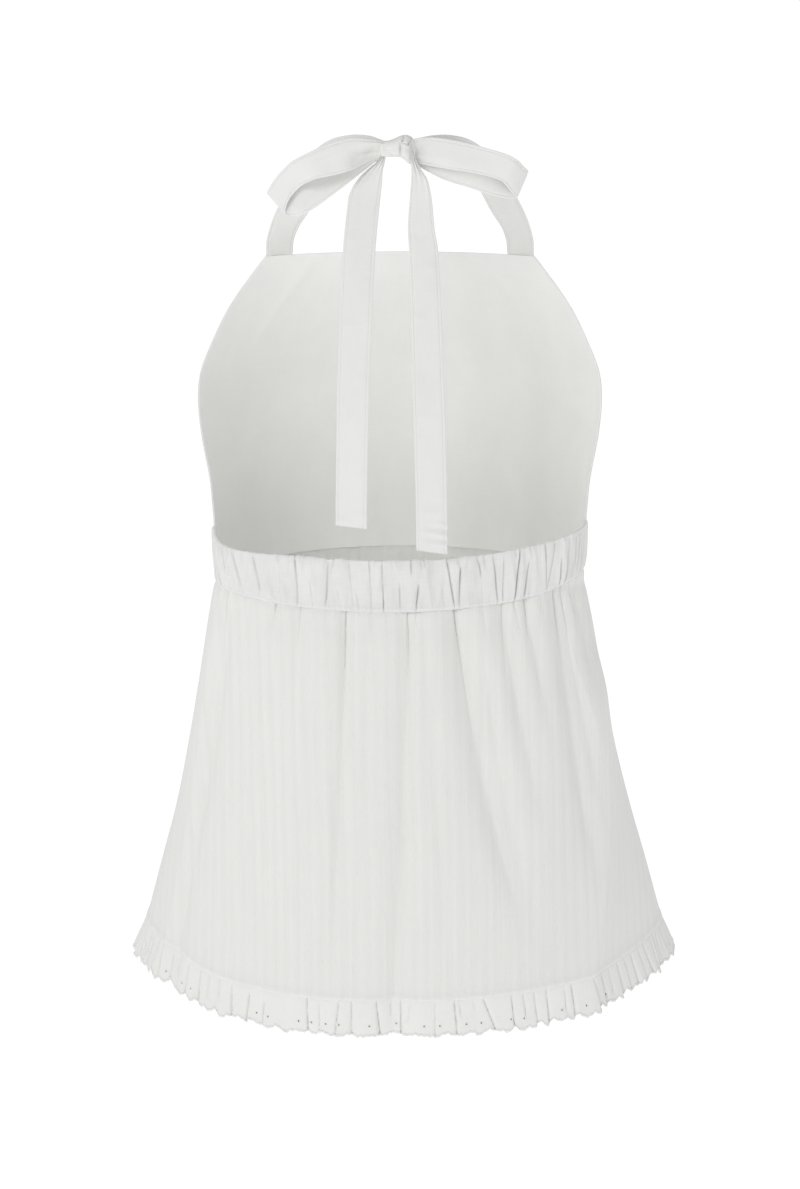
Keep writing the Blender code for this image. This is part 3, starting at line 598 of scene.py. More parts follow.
# %% Skirt form
SKIRT_LENGTH, SKIRT_GIRTH = 0.276, 430 * MM
SKIRT_MIDDLE, SKIRT_THICKNESS = 0.6 * MM, 0.55 * MM
WAIST_BILLOW, BILLOW_FALL = 1.7 * MM, 14.0 * MM
BILLOW_PINCH, PINCH_FALL = 0.7, 1.4 * MM
FRONT_CALM = (1 * MM, 8 * MM)
RIDGE_RISE, RIDGE_MIDDLE, RIDGE_ABOVE, RIDGE_BELOW = 0.75 * MM, 0.8 * MM, 4.0 * MM, 0.45 * MM
SIDE_ROLL, SIDE_ROLL_REACH = 0.4 * MM, 0.9 * MM
HEM_ROLL, HEM_ROLL_REACH = 0.08 * MM, 0.6 * MM
TUCK, TUCK_REACH = 1.2 * MM, 1.5 * MM


def skirt_place(middle_angle):
    """Where a panel's places lie in space: middle_angle is 0 for the back panel and 180 for the front one."""
    def place(across, up):
        angle = middle_angle + 90 - 180 * across
        share = 1 - up
        top, hem = level(WAIST_SEAM, angle), level(HEM, angle)
        below, above_hem = (top - hem) * share, (top - hem) * up
        folds = skirt_folds(turned(angle), share) + waist_puckers(angle, below)
        if middle_angle == 180:
            folds = folds * ramp(below, *FRONT_CALM)
        out = SKIRT_MIDDLE + folds
        if middle_angle == 0:
            out += WAIST_BILLOW * np.exp(-below / BILLOW_FALL) * (1 - BILLOW_PINCH * np.exp(-below / PINCH_FALL))
        out -= HEM_ROLL * np.exp(-above_hem / HEM_ROLL_REACH)
        from_ridge = above_hem - RIDGE_MIDDLE
        out += RIDGE_RISE * np.exp(-(from_ridge / np.where(from_ridge > 0, RIDGE_ABOVE, RIDGE_BELOW)) ** 2)
        from_side = np.minimum(across, 1 - across) * SKIRT_GIRTH
        out -= SIDE_ROLL * np.exp(-from_side / SIDE_ROLL_REACH)
        return ring_point(top + TUCK * np.exp(-below / TUCK_REACH) - below, angle, out)
    return place


CUT_LEVELS, CUT_PLACES = 24, 360
STRIPE_SHIFT, SIDE_EASE = 1.05 * MM, 0.12


def skirt_cut(middle_angle):
    """A panel laid flat: measured from its middle along each level, so that the stripe runs straight down."""
    shares = np.linspace(0, 1, CUT_LEVELS + 1)
    angles = np.linspace(-90, 90, CUT_PLACES + 1) + middle_angle
    heights = level(WAIST_SEAM, angles) * (1 - shares[:, None]) + level(HEM, angles) * shares[:, None]
    points = ring_point(heights, np.broadcast_to(angles, heights.shape))
    run = np.cumsum(np.linalg.norm(np.diff(points, axis=1), axis=-1), axis=1)
    run = np.concatenate([np.zeros((CUT_LEVELS + 1, 1)), run], 1)
    run = run - run[:, CUT_PLACES // 2, None]
    run = run * (1 - SIDE_EASE * (run / run[:, -1:]) ** 2)

    def cut(across, up):
        row, column = (1 - up) * CUT_LEVELS, (1 - across) * CUT_PLACES
        above = np.minimum(row.astype(int), CUT_LEVELS - 1)
        right = np.minimum(column.astype(int), CUT_PLACES - 1)
        down, left = row - above, column - right
        upper = run[above, right] * (1 - left) + run[above, right + 1] * left
        lower = run[above + 1, right] * (1 - left) + run[above + 1, right + 1] * left
        return np.stack([STRIPE_SHIFT - upper * (1 - down) - lower * down, (up - 1) * SKIRT_LENGTH], -1)
    return cut


def skirt_columns(count, near, spread=1.6, step=0.16):
    """Evenly shared columns, and closer ones round the sharp creases."""
    angles = list(np.linspace(-90, 90, count + 1))
    for place in near:
        angles += list(np.arange(place - spread, place + spread, step))
    angles = sorted(a for a in angles if -90 <= a <= 90)
    kept = [angles[0]]
    for angle in angles[1:]:
        if angle - kept[-1] > 0.6 * step:
            kept.append(angle)
    kept[-1] = 90.0
    return (90 - np.array(kept[::-1])) / 180


SHARP_PLACES = (16.2, -2.4, -5.0, -17.2, -18.8, -32.6, -41.8, -57.0, -62.0, -25.6, 31.4, 40.8, 67.2, -37.5)
SEAM_SHARE, WAIST_SHARE = 0.025, 0.80
skirt_up = np.concatenate([np.linspace(0, SEAM_SHARE, 9)[:-1], np.linspace(SEAM_SHARE, WAIST_SHARE, 52)[:-1],
                           np.linspace(WAIST_SHARE, 1, 34)])


def mesh_of_skirt(name, middle, columns):
    flat, faces = net(columns, skirt_up)
    return sheet_from(name, flat, faces, skirt_place(middle), skirt_cut(middle), SKIRT_THICKNESS, SKIRT_COTTON)


skirt_back = mesh_of_skirt("skirt_back_cloth", 0, skirt_columns(230, SHARP_PLACES))
skirt_front = mesh_of_skirt("skirt_front_cloth", 180, np.linspace(0, 1, 251))

# %% [markdown]
# ## Bib and its lining
# The front is two layers with the same cut: the shell outside and a smooth lining inside, which is what
# shows through the open back. They are turned out and pressed at the edge, so both layers close up
# there. The lower edge is eased into the waist seam with small puckers.

# %% Bib form
BIB_LEVELS = (  # height, edge from the middle, edge in front of the axis, middle in front of the axis
    (-323.0, 134.0, 0.0, 117.5), (-300.0, 134.6, 0.0, 118.2), (-280.0, 135.8, 0.3, 119.2),
    (-262.0, 137.2, 2.6, 121.0), (-245.0, 139.0, 6.5, 122.5), (-215.0, 144.8, 13.0, 126.0),
    (-188.0, 147.5, 19.5, 127.0), (-168.0, 145.6, 25.5, 123.5), (-148.0, 137.8, 32.0, 116.0),
    (-125.0, 126.4, 39.5, 104.0), (-107.0, 114.2, 46.0, 92.5), (-87.0, 98.8, 53.0, 82.0),
)
BIB_TOP = -87.0
LINING_MIDDLE, SHELL_MIDDLE = 0.5 * MM, 1.75 * MM
LINING_THICKNESS, SHELL_THICKNESS = 0.4 * MM, 0.55 * MM
EDGE_MEETS, EDGE_REACH, EDGE_APART = 1.05 * MM, 1.6 * MM, 0.45
SEAM_PRESS, PRESS_REACH = 0.35 * MM, 1.2 * MM
SHELL_DROP, DROP_REACH = 0.6 * MM, 2 * MM
BIB_PUCKERS = (-0.78, -0.66, -0.5, -0.41, -0.27, -0.16, -0.05, 0.09, 0.18, 0.33, 0.44, 0.55, 0.7, 0.82)
BIB_CREASES = (  # side and share of its middle, run across, run up, depth, half width
    (-0.78, 0.50, 0.30, 0.08, 1.8, 7.0), (0.72, 0.46, 0.26, 0.06, 1.4, 8.0), (-0.45, 0.20, 0.25, 0.10, 1.2, 9.0),
    (0.40, 0.14, 0.30, 0.07, 1.2, 8.0), (0.05, 0.30, 0.35, 0.02, 0.9, 12.0), (-0.62, 0.80, 0.06, 0.16, 1.0, 7.0),
    (0.62, 0.80, -0.06, 0.16, 1.0, 7.0), (-0.2, 0.08, 0.04, 0.10, 0.8, 6.0), (0.2, 0.06, 0.02, 0.10, 0.8, 6.0),
)
BIB_WIDTH, BIB_LENGTH = 0.31, 0.238
BIB_EASE = 1.25
CREASE_SHARPNESS, RELIEF_CALM = 1.7, 0.05
EASING_HALF, EASING_SHARPNESS = 2.6 * MM, 1.4


def bib_point(height, side, out):
    """Points on the bib at heights in millimetres; side runs from -1 at the right edge to 1."""
    edge_x, edge_front, middle_front = np.moveaxis(smooth(BIB_LEVELS, height), -1, 0)
    half_width = edge_x / np.sqrt(1 - (edge_front / middle_front) ** 2)
    turn = side * np.arctan2(edge_x / half_width, edge_front / middle_front)
    facing = unit(np.stack([np.sin(turn) / half_width, -np.cos(turn) / middle_front], -1))
    flat = np.stack([half_width * np.sin(turn), -middle_front * np.cos(turn)], -1) * MM
    flat = flat + np.array([0.0, AXIS_Y]) + facing * out[..., None]
    return np.concatenate([flat, (height * MM)[..., None]], -1)


def bib_relief(side, share):
    """Soft drag lines in both layers, and the easing puckers above the waist seam."""
    out = np.zeros_like(side)
    for middle_side, middle_share, run, climb, deep, half_width in BIB_CREASES:
        along = np.array([run * BIB_WIDTH / 2, climb * BIB_LENGTH])
        offset = np.stack([(side - middle_side) * BIB_WIDTH / 2, (share - middle_share) * BIB_LENGTH], -1)
        length = np.linalg.norm(along)
        down_line = offset @ along / length
        off_line = np.abs(offset @ np.array([-along[1], along[0]]) / length)
        out -= deep * MM * np.exp(-(down_line / length) ** 2 - (off_line / (half_width * MM)) ** CREASE_SHARPNESS)
    for k, place in enumerate(BIB_PUCKERS):
        near = np.abs(side - place) * BIB_WIDTH / 2 / EASING_HALF
        deep, length = (0.6 + 0.25 * (k % 3)) * MM, (9 + 4 * (k % 4)) * MM
        out -= deep * np.exp(-near ** EASING_SHARPNESS - share * BIB_LENGTH / length)
    return out * ramp(1 - np.abs(side), 0.0, RELIEF_CALM) * ramp(1 - share, 0.0, RELIEF_CALM)


def bib_place(middle_out, drop):
    """Where a bib layer's places lie: how far out its middle is, and how far it hangs past the seam."""
    def place(across, up):
        side = 2 * across - 1
        angle = np.where(side > 0, 180 - 90 * side, -180 - 90 * side)
        seam = level(WAIST_SEAM, angle) / MM
        edge = np.minimum((1 - np.abs(side)) * BIB_WIDTH / 2, (1 - up) * BIB_LENGTH)
        closed = np.exp(-edge / EDGE_REACH)
        out = middle_out * (1 - closed) + EDGE_MEETS * closed + (middle_out - EDGE_MEETS) * EDGE_APART * closed
        out = out + bib_relief(side, up)
        out = out - SEAM_PRESS * np.exp(-up * BIB_LENGTH / PRESS_REACH)
        height = seam + (BIB_TOP - seam) * up - drop * np.exp(-up * BIB_LENGTH / DROP_REACH) / MM
        return bib_point(height, side, out)
    return place


def bib_cut(across, up):
    return np.stack([(across - 0.5) * BIB_WIDTH * BIB_EASE, (up - 1) * BIB_LENGTH], -1)


def edge_dense(count, share=0.06, near=7):
    """Places from 0 to 1 that lie closer together near both ends."""
    inner = np.linspace(share, 1 - share, count)
    start = share * (np.linspace(0, 1, near + 1)[:-1]) ** 1.5
    return np.concatenate([start, inner, 1 - start[::-1]])


bib_flat, bib_faces = net(edge_dense(126), edge_dense(96, 0.05, 8))
lining = sheet_from("bib_lining_cloth", bib_flat, bib_faces, bib_place(LINING_MIDDLE, 0.0), bib_cut,
                    LINING_THICKNESS, LINING_COTTON)
bib = sheet_from("front_bib_cloth", bib_flat, bib_faces, bib_place(SHELL_MIDDLE, SHELL_DROP), bib_cut,
                 SHELL_THICKNESS, BIB_COTTON)

# %% [markdown]
# ## Casing: the gathers
# A strip folded over elastic: when the elastic pulls up, the cloth bulges into smooth puffs with a
# sharp crease between each two. So the face is a plateau with narrow notches, each with its own slant,
# depth and reach. Small soft wrinkles lie between them. Those are drawn by chance from a fixed seed, so
# that every run gives the same ones.

# %% Casing gathers
GATHERS = (  # angle and share of height at the upper end, at the lower end, depth, half width
    (86, 0.9, 85, 0.1, 1.0, 2.2), (80, 0.9, 77, 0.2, 1.0, 2.0), (74.9, 0.5, 71.5, 0.0, 0.8, 1.8),
    (69, 0.95, 67, 0.5, 0.5, 2.2), (62.7, 0.92, 58.2, 0.18, 1.35, 1.5), (56.6, 1.1, 56.4, 0.7, 0.5, 1.8),
    (50.7, 0.92, 48.3, 0.22, 1.35, 1.5), (44, 0.9, 43.5, 0.3, 0.2, 2.4), (39, 0.7, 38.5, 0.2, 0.2, 2.4),
    (33.4, 1.0, 32.6, -0.1, 1.0, 1.5), (28, 0.5, 27, 0.0, 0.3, 2.2), (21.9, 1.05, 23.0, 0.1, 1.0, 1.6),
    (19.7, 1.1, 21.4, 0.74, 0.8, 1.3), (19.9, 0.5, 17.7, 0.0, 0.4, 1.8), (15.5, 1.0, 14.2, 0.0, 0.7, 1.6),
    (13.5, 0.4, 12.2, 0.0, 0.7, 1.3), (9.3, 1.1, 8.5, 0.0, 1.0, 1.5), (5.4, 1.0, 4.8, -0.1, 1.0, 1.4),
    (0.1, 0.55, -0.2, 0.0, 0.8, 1.5), (-3.3, 1.1, -3.4, 0.8, 0.7, 1.3), (-5.6, 0.5, -4.6, -0.1, 0.9, 1.4),
    (-9.5, 0.5, -10, 0.0, 0.2, 2.2), (-13.0, 0.42, -13.6, 0.0, 0.5, 1.5), (-14.0, 1.05, -16.9, 0.0, 1.0, 1.6),
    (-18.4, 0.8, -18.2, -0.1, 1.0, 1.4), (-23.9, 1.05, -25.2, 0.6, 0.8, 1.6), (-25.5, 0.5, -26, 0.0, 0.3, 2.0),
    (-29.2, 1.05, -31.5, -0.1, 1.0, 1.6), (-33.1, 0.9, -33.0, -0.1, 0.8, 1.5), (-39.1, 1.05, -37.2, -0.1, 1.0, 1.6),
    (-42.8, 0.7, -41.0, 0.0, 1.0, 1.7), (-46.5, 1.0, -46.5, 0.5, 0.3, 1.8), (-49.8, 1.05, -51.9, 0.0, 0.9, 1.6),
    (-55.6, 1.05, -51.9, 0.0, 1.0, 1.5), (-58.7, 0.6, -58.1, -0.1, 0.9, 1.5), (-64.5, 0.95, -60.8, -0.1, 0.9, 1.7),
    (-68, 0.4, -67, 0.0, 0.9, 1.8), (-70, 0.95, -69, 0.3, 0.9, 1.8), (-73, 0.95, -71.5, 0.2, 1.0, 2.0),
    (-76.5, 0.9, -75, -0.1, 1.0, 2.0), (-80, 0.9, -79, 0.0, 1.0, 2.0), (-86, 0.9, -85, 0.1, 1.0, 2.2),
)
GATHER_END = 0.12
SLIT_HALF, SLIT_SHARE, SLIT_SHARPNESS = 0.55, 0.66, 1.1
CASING_RADIUS, CASING_FLATTENED = 137, 0.49
RIPPLE_GAIN = 0.62
WRINKLE_SEED, WRINKLES, PUFFS, EDGE_PLEATS = 3, 170, 80, 150


def casing_wrinkles():
    """Soft small ridges and dips between the creases: angle, share, lean, height, half width, half length."""
    chance = random.Random(WRINKLE_SEED)
    rows = []
    for _ in range(WRINKLES):
        side_more = abs(math.sin(math.radians(chance.uniform(-90, 90))))
        rows.append((chance.uniform(-88, 88), chance.uniform(0, 1), chance.uniform(-4, 4),
                     chance.uniform(-0.8, 0.7) * (0.6 + 1.0 * side_more), chance.uniform(1.2, 4.6),
                     chance.uniform(0.12, 0.45)))
    for _ in range(PUFFS):
        rows.append((chance.uniform(-88, 88), chance.uniform(0, 1), chance.uniform(-5, 5), chance.uniform(-1.3, 1.0),
                     chance.uniform(2.0, 5.0), chance.uniform(0.25, 0.9)))
    for _ in range(EDGE_PLEATS):
        edge, lean = chance.choice((-0.01, 0.97, 0.97)), chance.uniform(-6, 6)
        rows.append((chance.uniform(-89, 89), edge, lean, chance.uniform(-1.1, 0.9), chance.uniform(0.6, 1.4),
                     chance.uniform(0.06, 0.16)))
    return rows


SMALL_WRINKLES = casing_wrinkles()


def casing_rise(angle, share):
    """0 in the deepest crease and 1 on the puffs."""
    turn = np.radians(angle)
    radius = CASING_RADIUS * np.sqrt(np.cos(turn) ** 2 + (CASING_FLATTENED * np.sin(turn)) ** 2)
    sink, ripple = np.zeros_like(angle), np.zeros_like(angle)
    for top, top_share, low, low_share, deep, half_width in GATHERS:
        run = (share - low_share) / (top_share - low_share)
        line = low + (top - low) * run
        shown = between(share, low_share - GATHER_END, low_share + GATHER_END,
                        top_share - GATHER_END, top_share + GATHER_END)
        away = np.radians(np.abs(angle - line)) * radius
        slit = SLIT_SHARE * np.exp(-(away / SLIT_HALF) ** 2)
        slit = slit + (1 - SLIT_SHARE) * np.exp(-(away / half_width) ** SLIT_SHARPNESS)
        sink = np.maximum(sink, deep * shown * slit)
    for middle, at, lean, rise, half_width, half_length in SMALL_WRINKLES:
        away = np.radians(angle - middle - lean * (share - at)) * radius / half_width
        ripple += rise * np.exp(-(away ** 2) - ((share - at) / half_length) ** 2)
    return 1 - sink + RIPPLE_GAIN * np.tanh(ripple) * (1 - sink)


print(len(GATHERS), "creases and", len(SMALL_WRINKLES), "small wrinkles")

# %% [markdown]
# ## Casing: the form
# The strip is one closed loft that goes up the outside, over the folded top edge and down the inside.
# Its last rows bend out to the inside of the skirt, where a real casing is caught in the seam, so that no
# slit shows between the two.

# %% Casing form
CASING_HEIGHT = 37 * MM
CASING_FACE, CASING_PUFF = 1.0 * MM, 2.8 * MM
HEADER, HEADER_DIP, HEADER_HALF = 2.3 * MM, 0.45 * MM, 0.7 * MM
CASING_ANGLES = np.linspace(90, -90, 1381)
FACE_STEPS, BACK_STEPS, FOLD_STEPS = 27, 7, 5
TOP_LEVEL, TOP_LIFT, TOP_DIP = 0.97, 0.5 * MM, 1.3 * MM
SEAM_PINCH, SEAM_PINCH_REACH = 0.9, 2.6 * MM
TOP_PINCH, TOP_PINCH_REACH = 0.35, 1.2 * MM
FACE_TUCK, FACE_TUCK_REACH = 0.45 * MM, 1.5 * MM
FOLD_PUFF, FOLD_RISE, FOLD_INSIDE = 0.6, 0.7 * MM, 0.2 * MM
INSIDE_OUT, INSIDE_CREASE, JOIN_REACH = 0.15 * MM, 0.7 * MM, 0.8 * MM
SEAM_BILLOW, SEAM_LEVEL = 0.65, 0.005
RUN_ROW, SEAM_ROW = 15, 2


def casing_ring_rows():
    """The strip's outline at each step round it, as rows of points along the casing."""
    angle = CASING_ANGLES
    low, high = level(WAIST_SEAM, angle), level(CASING_TOP, angle)
    top_rise = casing_rise(angle, np.full_like(angle, TOP_LEVEL))
    high = high + TOP_LIFT - TOP_DIP * (1 - top_rise)
    rows, girth = [], []
    for share in np.linspace(0, 1, FACE_STEPS + 1):
        rise = casing_rise(angle, np.full_like(angle, share))
        from_seam, from_top = share * CASING_HEIGHT, (1 - share) * CASING_HEIGHT
        puff = 1 - SEAM_PINCH * math.exp(-from_seam / SEAM_PINCH_REACH)
        puff = puff - TOP_PINCH * math.exp(-from_top / TOP_PINCH_REACH)
        face = CASING_FACE - FACE_TUCK * math.exp(-from_seam / FACE_TUCK_REACH)
        header = HEADER_DIP * math.exp(-((from_top - HEADER) / HEADER_HALF) ** 2)
        rows.append(ring_point(low + (high - low) * share, angle, face + CASING_PUFF * rise * puff - header))
        girth.append(from_seam)
    for step in range(1, FOLD_STEPS):
        turn = math.pi * step / FOLD_STEPS
        half = (CASING_FACE + CASING_PUFF * FOLD_PUFF * top_rise) / 2
        rows.append(ring_point(high + FOLD_RISE * math.sin(turn), angle, FOLD_INSIDE + half * (1 + math.cos(turn))))
        girth.append(CASING_HEIGHT + step * MM)
    skirt_inside = SKIRT_MIDDLE + SEAM_BILLOW * WAIST_BILLOW - SKIRT_THICKNESS / 2
    skirt_inside = skirt_inside + waist_puckers(angle, np.full_like(angle, TUCK))
    skirt_inside = skirt_inside + skirt_folds(angle, np.full_like(angle, SEAM_LEVEL))
    for share in (*np.linspace(1, 0, BACK_STEPS + 1)[:-1], 0.05, 0.0):
        rise = casing_rise(angle, np.full_like(angle, share))
        inside = INSIDE_OUT + INSIDE_CREASE * np.clip(1 - rise, 0, 1)
        joined = math.exp(-share * CASING_HEIGHT / JOIN_REACH)
        rows.append(ring_point(low + (high - low) * share, angle, inside * (1 - joined) + skirt_inside * joined))
        girth.append(CASING_HEIGHT + 5 * MM + (1 - share) * CASING_HEIGHT)
    return np.stack(rows, 1), np.array(girth)


casing_rings, casing_girth = casing_ring_rows()
casing_steps = np.linalg.norm(np.diff(casing_rings[:, RUN_ROW], axis=0), axis=1)
casing_run = np.concatenate([[0.0], np.cumsum(casing_steps)])
casing_uv = np.stack(np.broadcast_arrays(casing_run[:, None], casing_girth[None, :]), -1)
casing = tube_from("back_casing_cloth", casing_rings, casing_uv, CASING_COTTON, sharp=80)
print("casing cloth let out:", round(casing_run[-1] * 1000), "mm")

# %% [markdown]
# ## Ruffle: the gathers
# A strip of eyelet edging, gathered into the hem seam. Like the casing it has flat places with sharp
# creases between them, and it swings out towards its lower edge. The creases across the back are placed
# one by one; round the sides and the front they are drawn evenly mixed, from a fixed seed.

# %% Ruffle gathers
RUFFLE_CREASES = (  # angle at the seam and at the edge, depth, half widths left and right of it, start, end
    (57.1, 56.9, 0.7, 2.0, 1.0, 0.0, 1.2), (52.9, 53.0, 0.8, 1.2, 2.6, 0.0, 1.2),
    (39.0, 38.4, 0.9, 0.9, 2.8, 0.1, 1.2), (34.2, 34.7, 1.0, 2.6, 0.9, 0.2, 1.2),
    (30.4, 30.6, 0.7, 1.6, 1.4, 0.3, 1.2), (20.6, 20.2, 1.0, 0.8, 3.0, 0.0, 1.2),
    (17.7, 17.6, 0.5, 1.2, 1.2, 0.0, 0.9), (13.6, 14.3, 0.9, 1.0, 2.4, 0.0, 0.9),
    (11.0, 10.9, 0.8, 1.0, 1.8, 0.0, 1.2), (5.9, 5.1, 1.2, 0.9, 3.0, 0.0, 1.2),
    (2.8, 2.8, 0.5, 1.2, 1.2, 0.0, 0.5), (0.8, 0.7, 0.9, 0.9, 2.2, 0.0, 1.2),
    (-1.3, -0.3, 0.5, 1.4, 1.0, 0.0, 0.6), (-6.3, -6.2, 0.5, 1.6, 1.4, 0.0, 1.2),
    (-10.2, -10.8, 1.0, 2.6, 0.9, 0.0, 1.2), (-11.3, -11.7, 0.6, 1.0, 1.0, 0.0, 0.5),
    (-14.3, -14.5, 0.5, 1.0, 1.0, 0.0, 0.3), (-16.2, -18.9, 0.9, 2.0, 0.9, 0.0, 1.2),
    (-22.4, -22.9, 1.0, 3.0, 0.8, 0.0, 1.2), (-25.0, -25.6, 0.7, 1.2, 1.8, 0.0, 0.7),
    (-27.5, -28, 0.7, 1.2, 1.8, 0.0, 1.2), (-30.3, -30.8, 0.9, 1.0, 2.2, 0.0, 1.2),
    (-34.7, -34.9, 0.7, 1.4, 1.2, 0.0, 0.8), (-36.3, -37.0, 1.0, 2.2, 0.9, 0.0, 1.2),
    (-42.1, -43.7, 0.9, 1.0, 2.0, 0.0, 1.2), (-44.9, -46.8, 1.0, 1.8, 1.0, 0.0, 1.2),
    (-48.0, -49.2, 0.6, 1.8, 1.0, 0.0, 0.8), (-51.5, -52.5, 0.9, 1.2, 1.8, 0.0, 1.2),
    (-54.6, -55.6, 0.6, 1.2, 1.2, 0.0, 1.2), (-57.5, -59, 0.9, 1.6, 1.2, 0.0, 1.2),
    (-61.0, -62.6, 0.7, 1.2, 1.2, 0.0, 1.2), (-63.9, -66.3, 1.0, 2.0, 1.0, 0.0, 1.2),
    (48.5, 48.2, 0.8, 1.4, 1.4, 0.0, 1.2), (45.6, 45.2, 0.6, 1.2, 1.2, 0.0, 0.7),
    (42.3, 42.0, 0.6, 1.2, 1.2, 0.0, 0.6), (25.5, 25.0, 0.3, 1.6, 1.6, 0.0, 0.5),
)
GATHER_SEED = 5
GATHER_TAKES = 3.4 * MM
RUFFLE_SLIT, RUFFLE_SLIT_SHARE, RUFFLE_SLIT_SHARPNESS = 0.55, 0.55, 1.2
CREASE_BEFORE, CREASE_AFTER = 0.15, 0.12
PUFF_OUT, CREASE_IN, SEAM_PUFF = 2.9, 1.3, 0.65
SWING_OUT, SWING_TURN, SWING_REACH = 1.5, 1.4, 5.0
SWELL_OUT, SWELLS = 1.5, ((0.3, 9.0, 1.3), (0.22, 5.3, 0.0))


def ruffle_creases(middle):
    """The back's creases as they fall, then evenly mixed ones where it turns the side and at the front."""
    chance = random.Random(GATHER_SEED + middle)
    found = [row for row in RUFFLE_CREASES if middle == 0]
    for start, end in {0: ((-90, -67), (59, 90)), 180: ((90, 270),)}[middle]:
        angle = start + 1.2
        while angle < end - 0.8:
            lean = chance.uniform(-0.9, 0.9)
            sides = (chance.uniform(0.8, 1.2), chance.uniform(1.4, 2.8))
            sides = sides if chance.random() < 0.5 else sides[::-1]
            deep, end_share = chance.uniform(0.5, 1.15), chance.choice((0.7, 1.2, 1.2))
            found.append((angle, angle + lean, deep, *sides, 0.0, end_share))
            angle += chance.uniform(1.9, 4.6)
    return found


def ruffle_out(angle, share, creases, arcs):
    """How far the ruffle stands out beyond the hem, at places round it and down it."""
    here = np.interp(angle, *arcs)
    sink, swing = np.zeros_like(angle), np.zeros_like(angle)
    for top, low, deep, left, right, start, end in creases:
        line = np.interp(top + (low - top) * share, *arcs)
        away = (here - line) / MM
        width = np.where(away > 0, left, right)
        shown = deep * between(share, start - CREASE_BEFORE, start + CREASE_AFTER,
                               end - CREASE_BEFORE, end + CREASE_AFTER)
        slit = RUFFLE_SLIT_SHARE * np.exp(-(away / RUFFLE_SLIT) ** 2)
        slit = slit + (1 - RUFFLE_SLIT_SHARE) * np.exp(-(np.abs(away) / width) ** RUFFLE_SLIT_SHARPNESS)
        sink = np.maximum(sink, shown * slit)
        turn = np.tanh(away / SWING_TURN) * np.exp(-np.abs(away) / SWING_REACH)
        swing = swing + shown * turn * (1 if left > right else -1)
    swell = sum(high * np.sin(here / MM / length + start) for high, length, start in SWELLS)
    puffs = (SEAM_PUFF + (1 - SEAM_PUFF) * share) * (PUFF_OUT * (1 - sink) - CREASE_IN)
    return MM * (puffs + share * (SWING_OUT * swing + SWELL_OUT * swell)), swing


def cloth_run(arc, creases, arcs):
    """The length of cloth used up along the hem, counting what each gather takes up."""
    run = np.array(arc, float)
    for _, low, deep, *_ in creases:
        run = run + GATHER_TAKES * deep * (0.5 + 0.5 * np.tanh((arc - np.interp(low, *arcs)) / (1.0 * MM)))
    return run


print(len(RUFFLE_CREASES), "creases across the back")

# %% [markdown]
# ## Ruffle: the edge
# The edge is scalloped: a wide scallop for each repeat and three small ones on it. They are counted along
# the cloth and not along the hem, because the gathers take up cloth and so bring the scallops closer
# together. The embroidery makes the edge twice as thick as the rest.

# %% Ruffle edge
RUFFLE_DROP = 25.2 * MM
RUFFLE_FLARE, RUFFLE_SIDE_FLARE = 3.0 * MM, 7.0 * MM
RUFFLE_THICKNESS, EDGE_THICKNESS, EDGE_SWELL = 0.45 * MM, 0.9 * MM, 1.1 * MM
RUFFLE_OUT, RUFFLE_TUCKED_OUT, RUFFLE_TUCK_REACH = 0.2 * MM, 0.1 * MM, 0.8 * MM
SCALLOP = 12.4 * MM
SCALLOP_DEPTH, SMALL_SCALLOP_DEPTH = 2.2 * MM, 0.7 * MM
SCALLOP_ROUND, SCALLOP_RAISE = 0.8, 0.6
EDGE_WANDER, EDGE_STEP = 1.0 * MM, 0.9 * MM
EDGE_WAVES = ((1.0, 3.7, 1.0), (0.8, 6.1, 0.0))


def ruffle_place(middle, creases, arcs):
    """Where a ruffle's places lie: it rides on the hem's folds, flares, and ends in scallops."""
    def place(across, up):
        angle = middle + 90 - 180 * across
        share = 1 - up
        hem = level(HEM, angle)
        side = np.abs(np.sin(np.radians(angle)))
        folds = skirt_folds(turned(angle), np.ones_like(angle))
        tucked = np.exp(-np.maximum(share, 0) * RUFFLE_DROP / RUFFLE_TUCK_REACH)
        out, swing = ruffle_out(angle, share, creases, arcs)
        out = out * (1 - tucked) + RUFFLE_TUCKED_OUT * tucked
        out = out + share * (RUFFLE_FLARE + RUFFLE_SIDE_FLARE * side ** 4) + RUFFLE_OUT + folds
        at = cloth_run(np.interp(angle, *arcs), creases, arcs) / SCALLOP
        edge = SCALLOP_DEPTH * (np.abs(np.sin(math.pi * at)) ** SCALLOP_ROUND - SCALLOP_RAISE)
        edge += SMALL_SCALLOP_DEPTH * np.abs(np.sin(3 * math.pi * at))
        wander = sum(high * np.sin(rate * at + start) for high, rate, start in EDGE_WAVES)
        edge += EDGE_WANDER * wander + EDGE_STEP * swing
        base = ring_point(hem, angle, out)
        base[..., 2] = hem + TUCK * tucked - RUFFLE_DROP * share - edge * np.clip(share, 0, 1.2) ** 4
        return base
    return place


def ruffle_wall(across, up):
    """The cloth's thickness, which swells along the embroidered edge."""
    edge = np.exp(-((up * RUFFLE_DROP) / EDGE_SWELL) ** 2)
    return RUFFLE_THICKNESS + (EDGE_THICKNESS - RUFFLE_THICKNESS) * edge


print("scallops", round(SCALLOP / MM, 1), "mm apart on the cloth")

# %% [markdown]
# ## Ruffle: the eyelets
# At each eyelet a block of six by four faces gives way to a rosette: two rings of twenty points and one
# in the middle, by which the cloth is pushed in. The eyelets are under two millimetres wide, so a deep
# dent in the shade of its thread rim reads as a hole, and the cloth stays closed. One eyelet belongs to
# each scallop, and it is left out where a crease would swallow it.

